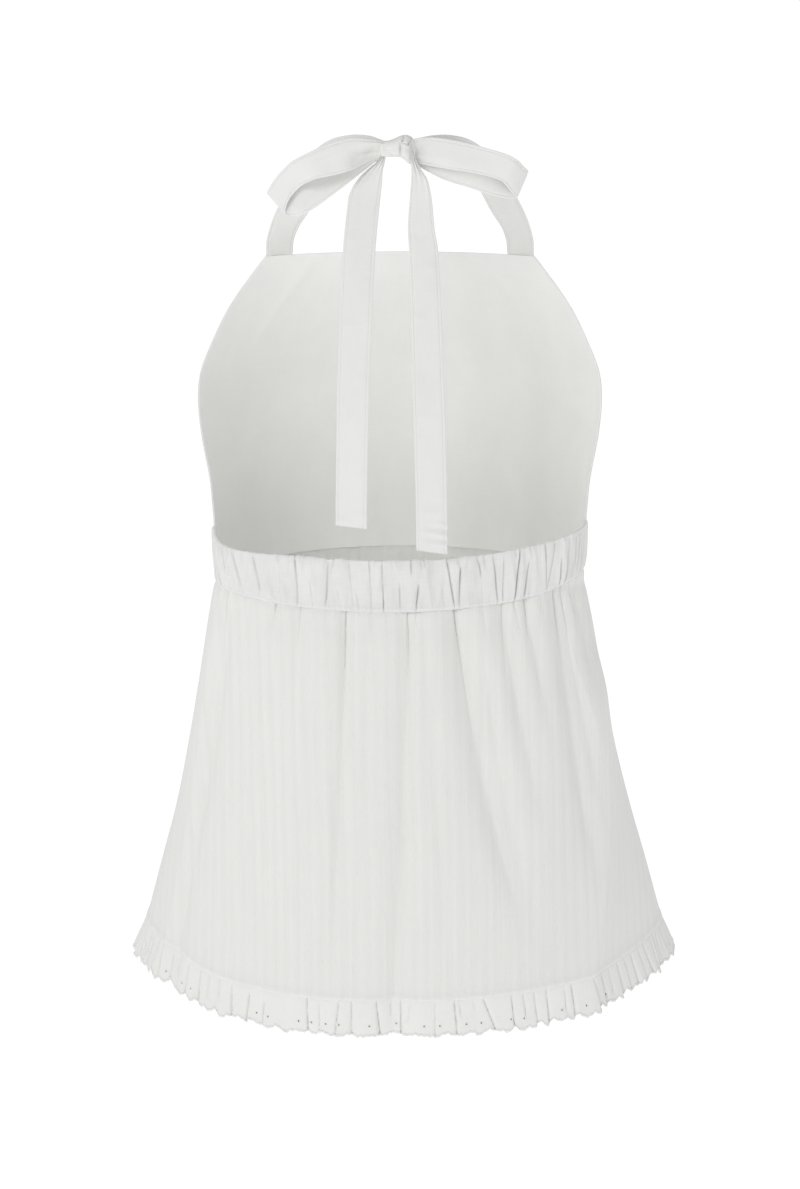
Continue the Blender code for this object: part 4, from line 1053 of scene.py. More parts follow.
# %% Ruffle eyelets
EYELET_RADIUS = 0.98 * MM
EYELET_RIM, SLEEVE_STRETCH = 0.34 * MM, 1.5
DENT_RADIUS, DENT_DEPTH = 0.80 * MM, 1.2 * MM
RUFFLE_ROWS = 24
COLUMN = 0.66 * MM
EYELET_ROW, EYELET_ROWS, EYELET_COLUMNS = 5, 4, 6
CLEAR_OF_CREASE, CLEAR_OF_SIDE = 2.1 * MM, 5 * MM
FACING_ACROSS, FACING_UP = 1e-3, 2e-2


def eyelet_arcs(creases, arcs):
    """Where along the hem an eyelet lies on open cloth, one to each scallop."""
    arc = np.linspace(0, arcs[1].max(), 20000)
    run = cloth_run(arc, creases, arcs)
    found = []
    for k in range(int(run[0] / SCALLOP), int(run[-1] / SCALLOP) + 1):
        place = float(np.interp((k + 0.5) * SCALLOP, run, arc))
        near = min(abs(place - np.interp(row[1], *arcs)) for row in creases)
        if near > CLEAR_OF_CREASE and CLEAR_OF_SIDE < place < arc[-1] - CLEAR_OF_SIDE:
            found.append(place)
    return found


def ruffle_net(creases, arcs, middle):
    """The flat net with a ring of faces round each eyelet, and the eyelets' middles."""
    length = arcs[1].max()
    columns = int(length / COLUMN)
    across, up = np.linspace(0, 1, columns + 1), np.linspace(0, 1, RUFFLE_ROWS + 1)
    flat, faces = net(across, up)
    flat, faces = flat.tolist(), {tuple(face): None for face in faces.tolist()}
    wide, holes, taken = columns + 1, [], -99
    arc_of_column = np.interp(middle + 90 - 180 * across, *arcs)
    for place in sorted(eyelet_arcs(creases, arcs), reverse=bool(arc_of_column[0] > arc_of_column[-1])):
        column = int(np.argmin(np.abs(arc_of_column - place)))
        left, right = column - EYELET_COLUMNS // 2, column + EYELET_COLUMNS // 2
        if left <= taken or right > columns - 2:
            continue
        taken = right
        low, high = EYELET_ROW, EYELET_ROW + EYELET_ROWS
        for r in range(low, high):
            for c in range(left, right):
                k = r * wide + c
                faces.pop((k, k + 1, k + wide + 1, k + wide))
        ring = [(low, c) for c in range(left, right)] + [(r, right) for r in range(low, high)]
        ring += [(high, c) for c in range(right, left, -1)] + [(r, left) for r in range(high, low, -1)]
        centre = np.array([across[column], up[low + EYELET_ROWS // 2]])
        cell = np.array([length, RUFFLE_DROP])
        start, count = len(flat), len(ring)
        for radius in (EYELET_RADIUS, DENT_RADIUS):
            for r, c in ring:
                spoke = (np.array([across[c], up[r]]) - centre) * cell
                flat.append((centre + unit(spoke) * radius / cell).tolist())
        flat.append(centre.tolist())
        for i, (r, c) in enumerate(ring):
            after, (next_r, next_c) = (i + 1) % count, ring[(i + 1) % count]
            faces[(r * wide + c, next_r * wide + next_c, start + after, start + i)] = None
            faces[(start + i, start + after, start + count + after, start + count + i)] = None
            if i % 2 == 0:
                inner = start + count
                faces[(inner + count, inner + i, inner + after, inner + (i + 2) % count)] = None
        holes.append(centre)
    used = sorted({k for face in faces for k in face})
    new_index = {old: new for new, old in enumerate(used)}
    faces = np.array([[new_index[k] for k in face] for face in faces])
    return np.array(flat)[used], faces, np.array(holes)


def facing_of(place, across, up):
    """The ruffle's own direction out, averaged over a little of the cloth."""
    right = place(across + FACING_ACROSS, up) - place(across - FACING_ACROSS, up)
    upward = place(across, up + FACING_UP) - place(across, up - FACING_UP)
    return unit(np.cross(right, upward))


def dented(place, holes, length):
    """The same placing, with the cloth pushed in at each eyelet."""
    middles = np.sort(holes[:, 0])

    def place_dented(across, up):
        last = np.clip(np.searchsorted(middles, across), 1, len(middles) - 1)
        near = np.where(across - middles[last - 1] < middles[last] - across, middles[last - 1], middles[last])
        away = np.hypot((across - near) * length, (up - holes[0, 1]) * RUFFLE_DROP)
        dent = DENT_DEPTH * (1 - ramp(away, DENT_RADIUS, EYELET_RADIUS))
        points, in_dent = place(across, up), dent > 0
        points[in_dent] -= facing_of(place, across[in_dent], up[in_dent]) * dent[in_dent, None]
        return points
    return place_dented


print("eyelets", round(2 * DENT_RADIUS / MM, 1), "mm wide inside their rims")

# %% [markdown]
# ## Ruffle: both lengths
# The back and front ruffles are made alike from the same parts. Their UV map counts the cloth that the
# gathers take up, so that the weave keeps its size in the creases.

# %% Ruffle form
def make_ruffle(name, middle):
    """A ruffle, its placing function, its eyelets' places, the cloth it takes and how that runs along it."""
    angles, run = arc_length(HEM, middle + 90, middle - 90)
    arcs = (angles[::-1], run[::-1])
    creases = ruffle_creases(middle)
    place = ruffle_place(middle, creases, arcs)
    flat, faces, holes = ruffle_net(creases, arcs, middle)

    def run_of(across):
        return cloth_run(np.interp(middle + 90 - 180 * across, *arcs), creases, arcs)

    def cut(across, up):
        return np.stack([run_of(across), (up - 1) * RUFFLE_DROP], -1)

    piece = sheet_from(name, flat, faces, dented(place, holes, arcs[1].max()), cut, ruffle_wall, RUFFLE_COTTON)
    used = np.ptp(cloth_run(arcs[1], creases, arcs))
    print(name, len(creases), "creases,", len(holes), "eyelets, cloth", round(used * 1000), "mm")
    return piece, place, holes, used, run_of


ruffle_back, back_place, back_eyelets, ruffle_back_used, back_run = make_ruffle("ruffle_back_cloth", 0)
ruffle_front, front_place, front_eyelets, ruffle_front_used, front_run = make_ruffle("ruffle_front_cloth", 180)

# %% [markdown]
# ## Ties: their lines
# The two neck straps, the bow's loops and its tails are all the same flat tie: a strip folded double,
# seamed along one edge and topstitched. Each visible stretch is swept along its own middle line. A rung
# gives a place on the line, the way across the tie there and its width. Rungs lie closer together
# where the tie turns over or narrows.

# %% Tie lines
TIE_WIDTH = 22.5
KNOT_LEFT, KNOT_RIGHT = 13.1, -9.7
STRAP = (  # x, y, z, across x, y, z, width
    (21.0, -4.6, -0.3, 0.0, 0.0, 1.0, 19.5), (33.0, -15.0, -1.8, 0.03, 0.0, 1.0, 22.0),
    (46.0, -34.0, -6.3, 0.16, 0.0, 1.0, TIE_WIDTH), (56.5, -56.0, -15.5, 0.36, -0.05, 0.9, TIE_WIDTH),
    (66.0, -77.0, -29.0, 0.60, -0.10, 0.75, TIE_WIDTH), (75.4, -95.5, -46.0, 0.82, -0.05, 0.50, 21.5),
    (84.1, -108.5, -62.0, 0.92, 0.22, 0.28, 20.6), (88.6, -116.0, -75.0, 0.93, 0.34, 0.10, 21.0),
)
STRAP_SIDE = 0.878
FOOT_LEVELS = (BIB_TOP + 1.5, BIB_TOP - 3.5)
FOOT_OUT, FOOT_SINK, FOOT_BEND = 1.05 * MM, 0.85 * MM, 1.1
LOOP_LEFT = (
    (10.5, 8.5, 1.6, 0.0, 0.0, 1.0, 8.0), (KNOT_LEFT, 9.5, 1.8, 0.0, 0.0, 1.0, 10.0),
    (22.0, 13.0, 0.4, -0.04, 0.0, 1.0, 16.0), (33.5, 16.0, -1.4, 0.0, -0.05, 1.0, 22.0),
    (46.0, 17.6, -4.6, 0.10, 0.0, 1.0, 22.0), (59.4, 17.2, -9.2, 0.36, 0.04, 0.92, 18.4),
    (69.1, 13.0, -14.1, 0.42, 0.08, 0.91, 17.8), (76.3, 7.4, -20.5, 0.44, 0.10, 0.89, 17.4),
    (82.2, 3.2, -28.5, 0.53, 0.08, 0.84, 18.0), (84.9, 0.3, -36.6, 0.66, 0.0, 0.75, 19.4),
    (77.5, -1.4, -35.6, 0.52, -0.05, 0.86, TIE_WIDTH), (66.0, 1.5, -30.8, 0.46, -0.20, 0.87, TIE_WIDTH),
    (46.0, 5.0, -17.6, 0.42, -0.20, 0.89, 20.5), (29.0, 6.5, -7.9, 0.30, -0.1, 0.95, 15.5),
    (KNOT_LEFT, 6.0, 0.5, 0.0, 0.0, 1.0, 10.5), (10.5, 5.5, 0.8, 0.0, 0.0, 1.0, 8.5),
)
LOOP_RIGHT = (
    (-6.5, 8.5, 0.5, 0.0, 0.0, 1.0, 12.0), (KNOT_RIGHT, 9.5, 0.4, 0.0, 0.0, 1.0, 16.0),
    (-22.0, 13.0, -0.2, 0.06, -0.03, 1.0, 19.6), (-34.6, 15.6, -1.8, 0.05, 0.0, 1.0, 20.2),
    (-47.1, 16.6, -4.0, -0.06, 0.03, 1.0, 19.0), (-60.4, 16.4, -7.2, -0.22, 0.08, 0.97, 18.2),
    (-70.0, 15.2, -10.3, -0.33, 0.12, 0.93, 18.2), (-75.2, 13.6, -13.4, -0.40, 0.10, 0.90, 18.6),
    (-77.2, 11.4, -15.2, -0.42, 0.09, 0.90, 18.9), (-80.6, 6.2, -19.4, -0.42, 0.06, 0.91, 19.4),
    (-84.0, -0.6, -23.6, -0.38, 0.0, 0.92, 20.4),
    (-77.5, -1.5, -22.7, -0.30, 0.05, 0.95, TIE_WIDTH), (-64.0, 3.0, -19.3, -0.25, 0.15, 0.95, TIE_WIDTH),
    (-50.0, 6.5, -14.4, -0.25, 0.18, 0.95, TIE_WIDTH), (-33.5, 8.0, -10.0, -0.22, 0.15, 0.96, 21.0),
    (-18.5, 7.5, -4.6, -0.10, 0.05, 1.0, 17.5), (KNOT_RIGHT, 6.5, -1.2, 0.0, 0.0, 1.0, 14.0),
    (-6.5, 5.5, -0.5, 0.0, 0.0, 1.0, 11.0),
)
TAIL_LEFT = (
    (11.2, 5.6, -1.5, 1.0, 0.0, 0.0, 3.5), (12.6, 4.6, -6.8, 1.0, 0.0, 0.0, 5.0),
    (16.6, 3.0, -13.0, 1.0, 0.0, 0.15, 10.0), (20.4, 2.2, -20.0, 1.0, 0.0, 0.1, 16.5),
    (23.9, 2.6, -30.0, 1.0, 0.0, 0.08, 21.3), (25.6, 4.2, -42.0, 1.0, 0.0, 0.05, 22.2),
    (28.3, 8.0, -70.0, 1.0, -0.03, 0.05, TIE_WIDTH), (30.5, 13.0, -112.0, 1.0, -0.08, 0.05, TIE_WIDTH),
    (32.4, 16.0, -160.0, 1.0, -0.12, 0.05, TIE_WIDTH), (33.7, 16.0, -215.0, 1.0, -0.12, 0.07, TIE_WIDTH),
    (34.5, 13.5, -262.0, 1.0, -0.10, 0.10, TIE_WIDTH),
)
TAIL_RIGHT = (
    (-6.9, 14.6, 6.0, 1.0, 0.0, 0.5, 1.6), (-8.0, 15.6, 1.0, 1.0, 0.0, 0.5, 2.2),
    (-8.7, 15.8, -2.4, 1.0, 0.0, 0.45, 2.9), (-9.5, 15.6, -5.8, 1.0, 0.0, 0.4, 4.2),
    (-10.5, 15.0, -9.1, 1.0, 0.0, 0.35, 6.2), (-12.2, 14.0, -13.8, 1.0, 0.0, 0.3, 9.5),
    (-13.6, 13.2, -19.2, 1.0, 0.0, 0.25, 12.2), (-14.3, 12.6, -32.0, 1.0, 0.0, 0.15, 15.4),
    (-14.6, 13.0, -52.0, 1.0, 0.05, 0.08, 18.6), (-16.4, 14.0, -70.0, 1.0, 0.08, 0.08, 20.5),
    (-18.5, 17.0, -120.0, 1.0, 0.10, 0.08, 21.5), (-20.5, 18.5, -180.0, 1.0, 0.10, 0.10, TIE_WIDTH),
    (-22.0, 17.0, -235.0, 1.0, 0.08, 0.12, TIE_WIDTH), (-22.6, 15.0, -280.0, 1.0, 0.06, 0.16, TIE_WIDTH),
)


print("rungs:", ", ".join(str(len(rungs)) for rungs in (STRAP, LOOP_LEFT, LOOP_RIGHT, TAIL_LEFT, TAIL_RIGHT)))

# %% [markdown]
# ## Ties: their form
# A tie's outline is flat with round edges and a shallow groove where the topstitching pulls it in. Near
# the knot the cloth is pinched, so lengthwise pleats grow there. Small waves bend the whole tie, since
# cloth that has been tied and pressed is never quite flat.

# %% Tie form
TIE_THICK = 1.25
TIE_SIDES = (1.0, 0.99, 0.96, 0.92, 0.88, 0.85, 0.82, 0.79, 0.76, 0.68, 0.52, 0.34, 0.12)
STITCH_AT, GROOVE_HALF, GROOVE_DEEP = 0.82, 0.035, 0.75
GROOVE_EASE, EASE_LENGTH = 0.65, 0.04
PLEAT_DEEP, PLEAT_DRIFT = 0.9 * MM, 2.5
TIE_SQUARENESS, PLEAT_SQUARENESS = 12, 6


def strap_rungs(mirror):
    """From inside the knot over the shoulder to a foot between the bib's two layers."""
    side = mirror * STRAP_SIDE
    foot = bib_point(np.array(FOOT_LEVELS), np.full(2, side), np.array([FOOT_OUT, FOOT_OUT + FOOT_SINK])) / MM
    ends = bib_point(np.full(2, BIB_TOP), mirror * np.array([1.0, 2 * STRAP_SIDE - 1]), np.zeros(2))
    across = unit(ends[0] - ends[1])
    start = {1: 11.0, -1: 7.5}[mirror]
    rungs = [(mirror * start, 2.2, 0.3, 0.0, 0.0, 1.0, 12.5), (mirror * (start + 3), 1.3, 0.3, 0.0, 0.0, 1.0, 14.5)]
    rungs += [(mirror * x, y, z, mirror * ax, ay, az, w) for x, y, z, ax, ay, az, w in STRAP]
    rungs += [(*point, *across, TIE_WIDTH) for point in foot]
    return rungs


def tie_outline():
    """Places round a tie's section, as shares of half the width and half the thickness."""
    across = np.concatenate([TIE_SIDES, -np.array(TIE_SIDES[::-1])])
    thick = (1 - np.abs(across) ** TIE_SQUARENESS) ** 0.5
    return np.concatenate([across, across[-2:0:-1]]), np.concatenate([thick, -thick[-2:0:-1]])


def tie_frames(rungs, count):
    """Middle, way across, way out and width at evenly shared places, and the tie's length."""
    table = [(i, *row) for i, row in enumerate(rungs)]
    values = smooth(table, np.linspace(0, len(rungs) - 1, count + 1))
    middle, width = values[:, :3] * MM, values[:, 6] * MM
    run = np.concatenate([[0.0], np.cumsum(np.linalg.norm(np.diff(middle, axis=0), axis=1))])
    even = np.interp(np.linspace(0, run[-1], count + 1), run, np.linspace(0, len(rungs) - 1, count + 1))
    values = smooth(table, even)
    middle, across, width = values[:, :3] * MM, values[:, 3:6], values[:, 6] * MM
    along = unit(np.gradient(middle, axis=0))
    across = unit(across)
    return middle, across, unit(np.cross(across, along)), width, run[-1]


def tie_bend(length_share, across_share, waves):
    """Small bends of the whole tie: rows of share along, share across, depth, half lengths of both."""
    bend = np.zeros(np.broadcast_shapes(length_share.shape, across_share.shape))
    for at, side, deep, half_along, half_across in waves:
        along, across = (length_share - at) / half_along, (across_share - side) / half_across
        bend = bend + deep * MM * np.exp(-along ** 2 - across ** 2)
    return bend


def make_tie(name, rungs, count, pinches, waves, pleats=3, foot=1.0):
    """A tie swept along its rungs: the piece, its rings of points and its length."""
    middle, across, out, width, length = tie_frames(rungs, count)
    side, thick = tie_outline()
    share = np.linspace(0, 1, count + 1)[:, None]
    half = width[:, None] / 2
    groove = 1 - GROOVE_DEEP * np.exp(-((np.abs(side[None, :]) - STITCH_AT) / GROOVE_HALF) ** 2)
    groove = groove * (1 - GROOVE_EASE * ramp(share, foot, foot + EASE_LENGTH))
    pinch = sum((np.exp(-((share - at) / reach) ** 2) for at, reach in pinches), np.zeros_like(share))
    pleat = pinch * PLEAT_DEEP * np.cos(math.pi * pleats * side[None, :] + PLEAT_DRIFT * share)
    pleat = pleat * (1 - np.abs(side[None, :]) ** PLEAT_SQUARENESS)
    lift = thick[None, :] * TIE_THICK / 2 * MM * groove + pleat
    lift = lift + tie_bend(share, side[None, :], waves)
    rings = middle[:, None] + across[:, None] * (side[None, :] * half)[..., None] + out[:, None] * lift[..., None]
    around = np.concatenate([[0.0], np.cumsum(np.abs(np.diff(side)))]) * TIE_WIDTH / 2 * MM
    uvs = np.stack(np.broadcast_arrays(around[None, :], share * length), -1)
    piece = tube_from(name, rings, uvs, TIE_COTTON)
    print(name, "is", round(length * 1000), "mm long")
    return piece, rings, length


KNOT_PINCH, STRAP_PINCH = 0.07, 0.12
FOOT_WAVES = [(1.0, 1.0, FOOT_BEND, 0.06, 0.6), (1.0, -1.0, FOOT_BEND, 0.06, 0.6)]
FOOT_BACK = [(at, side, -deep, along, wide) for at, side, deep, along, wide in FOOT_WAVES]
STRAP_WAVES = (  # each row of waves: share along, share across, depth, half length along, half width
    [(0.35, 0.3, 0.8, 0.05, 0.8), (0.6, -0.3, -0.7, 0.04, 0.9), (0.85, 0.2, 0.6, 0.03, 1.0), *FOOT_WAVES],
    [(0.3, -0.3, 0.8, 0.06, 0.8), (0.55, 0.3, -0.8, 0.05, 0.9), (0.83, -0.2, 0.7, 0.03, 1.0), *FOOT_BACK],
)
LOOP_WAVES = (
    [(0.045, -0.3, -4.6, 0.03, 0.6), (0.10, -0.35, -5.2, 0.045, 0.55), (0.06, -0.05, -1.6, 0.05, 0.13),
     (0.055, -0.7, -1.6, 0.05, 0.13), (0.13, 0.5, 0.9, 0.06, 0.5), (0.22, -0.4, -0.8, 0.04, 0.6),
     (0.39, -0.9, -3.4, 0.04, 0.6), (0.60, -0.9, -1.6, 0.035, 0.6), (0.75, 0.0, 0.8, 0.08, 0.6)],
    [(0.045, 0.1, 1.8, 0.02, 0.4), (0.15, -0.3, -0.9, 0.05, 0.5), (0.3, 0.5, 0.7, 0.08, 0.6),
     (0.43, -0.9, 1.2, 0.04, 0.5), (0.75, 0.2, 0.8, 0.06, 0.6)],
)
TAIL_WAVES = (
    [(0.3, 0.4, 0.7, 0.05, 0.7), (0.5, -0.4, -0.8, 0.06, 0.8), (0.72, 0.3, 0.6, 0.05, 0.9),
     (0.9, -0.3, -0.5, 0.03, 0.9), (0.24, 0.5, 0.5, 0.012, 0.5), (0.33, -0.6, -0.4, 0.010, 0.5),
     (0.46, 0.4, 0.5, 0.014, 0.6), (0.60, -0.5, 0.45, 0.010, 0.5), (0.965, -0.7, 0.7, 0.007, 0.6),
     (0.985, 0.6, 0.6, 0.007, 0.7)],
    [(0.35, -0.4, 0.8, 0.05, 0.7), (0.55, 0.3, -0.7, 0.05, 0.8), (0.22, 0.5, -0.5, 0.010, 0.5),
     (0.30, -0.5, 0.5, 0.012, 0.5), (0.42, 0.5, 0.5, 0.010, 0.5), (0.50, -0.6, -0.5, 0.012, 0.4),
     (0.66, 0.4, 0.4, 0.010, 0.6), (0.925, -0.8, 0.9, 0.005, 0.6), (0.938, -0.7, -1.0, 0.005, 0.8),
     (0.952, -0.5, 1.0, 0.005, 0.9), (0.965, -0.8, -0.9, 0.005, 0.7), (0.978, -0.6, 0.9, 0.005, 0.9),
     (0.9, 0.3, 0.6, 0.012, 0.9)],
)
LOOP_PINCHES = [(0.0, KNOT_PINCH), (1.0, KNOT_PINCH)]
strap_left, strap_left_rings, strap_left_length = make_tie(
    "strap_left_cloth", strap_rungs(1), 90, [(0.0, STRAP_PINCH)], STRAP_WAVES[0], foot=0.93)
strap_right, strap_right_rings, strap_right_length = make_tie(
    "strap_right_cloth", strap_rungs(-1), 90, [(0.0, STRAP_PINCH)], STRAP_WAVES[1], foot=0.93)
loop_left, loop_left_rings, loop_left_length = make_tie(
    "bow_loop_left_cloth", LOOP_LEFT, 130, LOOP_PINCHES, LOOP_WAVES[0])
loop_right, loop_right_rings, loop_right_length = make_tie(
    "bow_loop_right_cloth", LOOP_RIGHT, 130, LOOP_PINCHES, LOOP_WAVES[1])
tail_left, tail_left_rings, tail_left_length = make_tie(
    "tail_left_cloth", TAIL_LEFT, 120, [(0.0, 0.08)], TAIL_WAVES[0])
tail_right, tail_right_rings, tail_right_length = make_tie(
    "tail_right_cloth", TAIL_RIGHT, 200, [(0.06, 0.05)], TAIL_WAVES[1])

# %% [markdown]
# ## The knot
# The tie crosses itself once and is pulled tight, so the knot is a small lump of folded cloth. It is a
# loft of rounded sections from the left loop to the right one, with its folds pressed in: each groove
# is a line on the knot's outer face, given by its two ends, its depth and its width. A small turned
# end of cloth stands up at the top.

# %% Knot form
KNOT_RINGS = (  # x, near the neck, far from it, low, high
    (-11.0, 4.5, 9.5, -5.0, 5.0), (-9.6, 2.2, 12.2, -8.4, 7.4), (-7.5, 1.2, 13.8, -9.1, 9.6),
    (-5.0, 0.6, 14.8, -7.9, 10.7), (-2.7, 0.4, 15.0, -5.8, 10.8), (0.0, 0.3, 14.4, -4.4, 10.0),
    (4.0, 0.3, 13.8, -4.2, 8.2), (8.0, 0.5, 12.8, -4.2, 6.9), (11.5, 1.0, 11.2, -3.8, 6.6),
    (13.6, 2.0, 9.6, -3.0, 6.2),
)
KNOT_GROOVES = (  # x and z of one end, x and z of the other, depth, half width
    (-0.4, 6.2, -0.3, -3.2, 3.0, 0.7), (-2.9, 10.6, -1.2, 6.6, 3.0, 0.7), (-7.8, 9.2, -5.5, 5.0, 3.2, 0.8),
    (-1.4, 6.4, -5.6, 5.1, 1.6, 0.6), (-1.4, 1.8, -7.2, 1.2, 0.9, 1.4), (9.6, 5.0, 9.2, -2.6, 1.2, 0.8),
    (11.2, 5.0, 11.0, -2.0, 1.2, 0.6), (7.4, 2.0, 7.2, -3.4, 0.8, 0.8), (10.9, -2.6, 0.6, -3.7, 1.4, 0.7),
    (-0.2, -3.6, -7.6, -8.2, 1.2, 0.8), (12.8, 6.0, 10.0, 6.6, 0.7, 1.2), (-2.2, 4.6, -2.8, -1.0, 0.7, 1.0),
)
KNOT_SECTIONS, KNOT_AROUND = 96, 130
KNOT_ROUNDNESS, KNOT_GIRTH = 0.72, 8 * MM
GROOVE_TAPER, GROOVE_SHARPNESS, GROOVE_SIDE = 0.5, 1.3, (-0.2, 0.5)


def make_knot():
    """The knot's lump, with its grooves pressed in from the outer side."""
    x = np.linspace(KNOT_RINGS[0][0], KNOT_RINGS[-1][0], KNOT_SECTIONS + 1)
    near, far, low, high = np.moveaxis(smooth(KNOT_RINGS, x), -1, 0)
    turn = np.linspace(0, 2 * math.pi, KNOT_AROUND + 1)[:-1]
    cos, sin = np.cos(turn), np.sin(turn)
    shape_y = np.sign(cos) * np.abs(cos) ** KNOT_ROUNDNESS
    shape_z = np.sign(sin) * np.abs(sin) ** KNOT_ROUNDNESS
    middle_y, middle_z = ((near + far) / 2)[:, None], ((low + high) / 2)[:, None]
    y = middle_y + ((far - near) / 2)[:, None] * shape_y[None, :]
    z = middle_z + ((high - low) / 2)[:, None] * shape_z[None, :]
    points = np.stack(np.broadcast_arrays(x[:, None], y, z), -1)
    sink = np.zeros(points.shape[:2])
    for x0, z0, x1, z1, deep, half_width in KNOT_GROOVES:
        line = np.array([x1 - x0, z1 - z0])
        offset = points[..., [0, 2]] - np.array([x0, z0])
        share = np.clip(offset @ line / (line @ line), 0, 1)
        away = np.linalg.norm(offset - share[..., None] * line, axis=-1)
        taper = 1 - GROOVE_TAPER * np.abs(2 * share - 1)
        groove = deep * taper * np.exp(-(away / half_width) ** GROOVE_SHARPNESS)
        sink = np.maximum(sink, groove * ramp(shape_y, *GROOVE_SIDE)[None, :])
    outward = np.stack(np.broadcast_arrays(0 * y, y - middle_y, z - middle_z), -1)
    points = (points - unit(outward) * sink[..., None]) * MM
    uvs = np.stack(np.broadcast_arrays(turn[None, :] * KNOT_GIRTH, (x * MM)[:, None]), -1)
    return tube_from("bow_knot_cloth", points, uvs, TIE_COTTON)


knot = make_knot()

# %% [markdown]
# ## Stitches and eyelet rims
# Anything that repeats along a line is worth a Geometry Nodes tree: draw the line once, space points
# along it, put one small thing on each and turn it to the line's direction. The first tree makes rows
# of stitches from plain lines of edges, the second puts a thread ring on each eyelet, and the third
# lays the short bars of thread that bind the scalloped edge.

# %% Stitch tree
def new_tree(name, sizes):
    """A node group with geometry in and out, named sizes and a material."""
    tree = bpy.data.node_groups.new(name, "GeometryNodeTree")
    tree.interface.new_socket("Geometry", in_out="INPUT", socket_type="NodeSocketGeometry")
    for label, value in sizes:
        socket = tree.interface.new_socket(label, in_out="INPUT", socket_type="NodeSocketFloat")
        socket.default_value = value
    tree.interface.new_socket("Material", in_out="INPUT", socket_type="NodeSocketMaterial")
    tree.interface.new_socket("Geometry", in_out="OUTPUT", socket_type="NodeSocketGeometry")
    return tree, add_node(tree, "NodeGroupInput"), add_node(tree, "NodeGroupOutput")


def put_on_points(tree, group_in, group_out, points, thing, direction, axis):
    """Puts one thing on each point, turned to a direction, and makes it a plain, painted mesh."""
    aim = add_node(tree, "FunctionNodeAlignRotationToVector", axis=axis)
    put = add_node(tree, "GeometryNodeInstanceOnPoints")
    real, paint = add_node(tree, "GeometryNodeRealizeInstances"), add_node(tree, "GeometryNodeSetMaterial")
    for start, end in (
        (points, put.inputs["Points"]), (thing, put.inputs["Instance"]), (direction, aim.inputs["Vector"]),
        (aim.outputs["Rotation"], put.inputs["Rotation"]), (put.outputs["Instances"], real.inputs["Geometry"]),
        (real.outputs["Geometry"], paint.inputs["Geometry"]),
        (group_in.outputs["Material"], paint.inputs["Material"]),
        (paint.outputs["Geometry"], group_out.inputs["Geometry"]),
    ):
        tree.links.new(start, end)


def bead(tree, group_in):
    """One stitch: a small ball drawn out to the tree's length and thread."""
    ball, sizes = add_node(tree, "GeometryNodeMeshUVSphere"), add_node(tree, "ShaderNodeCombineXYZ")
    stretch = add_node(tree, "GeometryNodeTransform")
    for label, value in (("Segments", 6), ("Rings", 4), ("Radius", 0.5)):
        ball.inputs[label].default_value = value
    for axis, label in (("X", "Length"), ("Y", "Thread"), ("Z", "Thread")):
        tree.links.new(group_in.outputs[label], sizes.inputs[axis])
    tree.links.new(ball.outputs["Mesh"], stretch.inputs["Geometry"])
    tree.links.new(sizes.outputs["Vector"], stretch.inputs["Scale"])
    return stretch.outputs["Geometry"]


def carried(tree, label):
    """The direction that each point carries under a name."""
    direction = add_node(tree, "GeometryNodeInputNamedAttribute", data_type="FLOAT_VECTOR")
    direction.inputs["Name"].default_value = label
    return direction.outputs["Attribute"]


def stitch_tree():
    sizes = (("Pitch", 2.6 * MM), ("Length", 1.7 * MM), ("Thread", 0.32 * MM))
    tree, group_in, group_out = new_tree("stitch_row", sizes)
    curve, tangent = add_node(tree, "GeometryNodeMeshToCurve"), add_node(tree, "GeometryNodeInputTangent")
    spaced = add_node(tree, "GeometryNodeResampleCurve", mode="LENGTH")
    tree.links.new(group_in.outputs["Geometry"], curve.inputs["Mesh"])
    tree.links.new(curve.outputs["Curve"], spaced.inputs["Curve"])
    tree.links.new(group_in.outputs["Pitch"], spaced.inputs["Length"])
    put_on_points(tree, group_in, group_out, spaced.outputs["Curve"], bead(tree, group_in),
                  tangent.outputs["Tangent"], "X")
    return tree


def rim_tree():
    tree, group_in, group_out = new_tree("eyelet_rims", (("Radius", EYELET_RADIUS), ("Thread", EYELET_RIM)))
    ring, sleeve = add_node(tree, "GeometryNodeCurveToMesh"), add_node(tree, "GeometryNodeTransform")
    for label, steps, socket in (("Radius", 16, "Curve"), ("Thread", 6, "Profile Curve")):
        circle = add_node(tree, "GeometryNodeCurvePrimitiveCircle")
        circle.inputs["Resolution"].default_value = steps
        tree.links.new(group_in.outputs[label], circle.inputs["Radius"])
        tree.links.new(circle.outputs["Curve"], ring.inputs[socket])
    sleeve.inputs["Scale"].default_value = (1.0, 1.0, SLEEVE_STRETCH)
    tree.links.new(ring.outputs["Mesh"], sleeve.inputs["Geometry"])
    put_on_points(tree, group_in, group_out, group_in.outputs["Geometry"], sleeve.outputs["Geometry"],
                  carried(tree, "facing"), "Z")
    return tree


def bar_tree():
    tree, group_in, group_out = new_tree("satin_bars", (("Length", 2.0 * MM), ("Thread", 0.5 * MM)))
    put_on_points(tree, group_in, group_out, group_in.outputs["Geometry"], bead(tree, group_in),
                  carried(tree, "lay"), "X")
    return tree


def socket_id(tree, label):
    return next(i.identifier for i in tree.interface.items_tree if i.name == label and i.in_out == "INPUT")


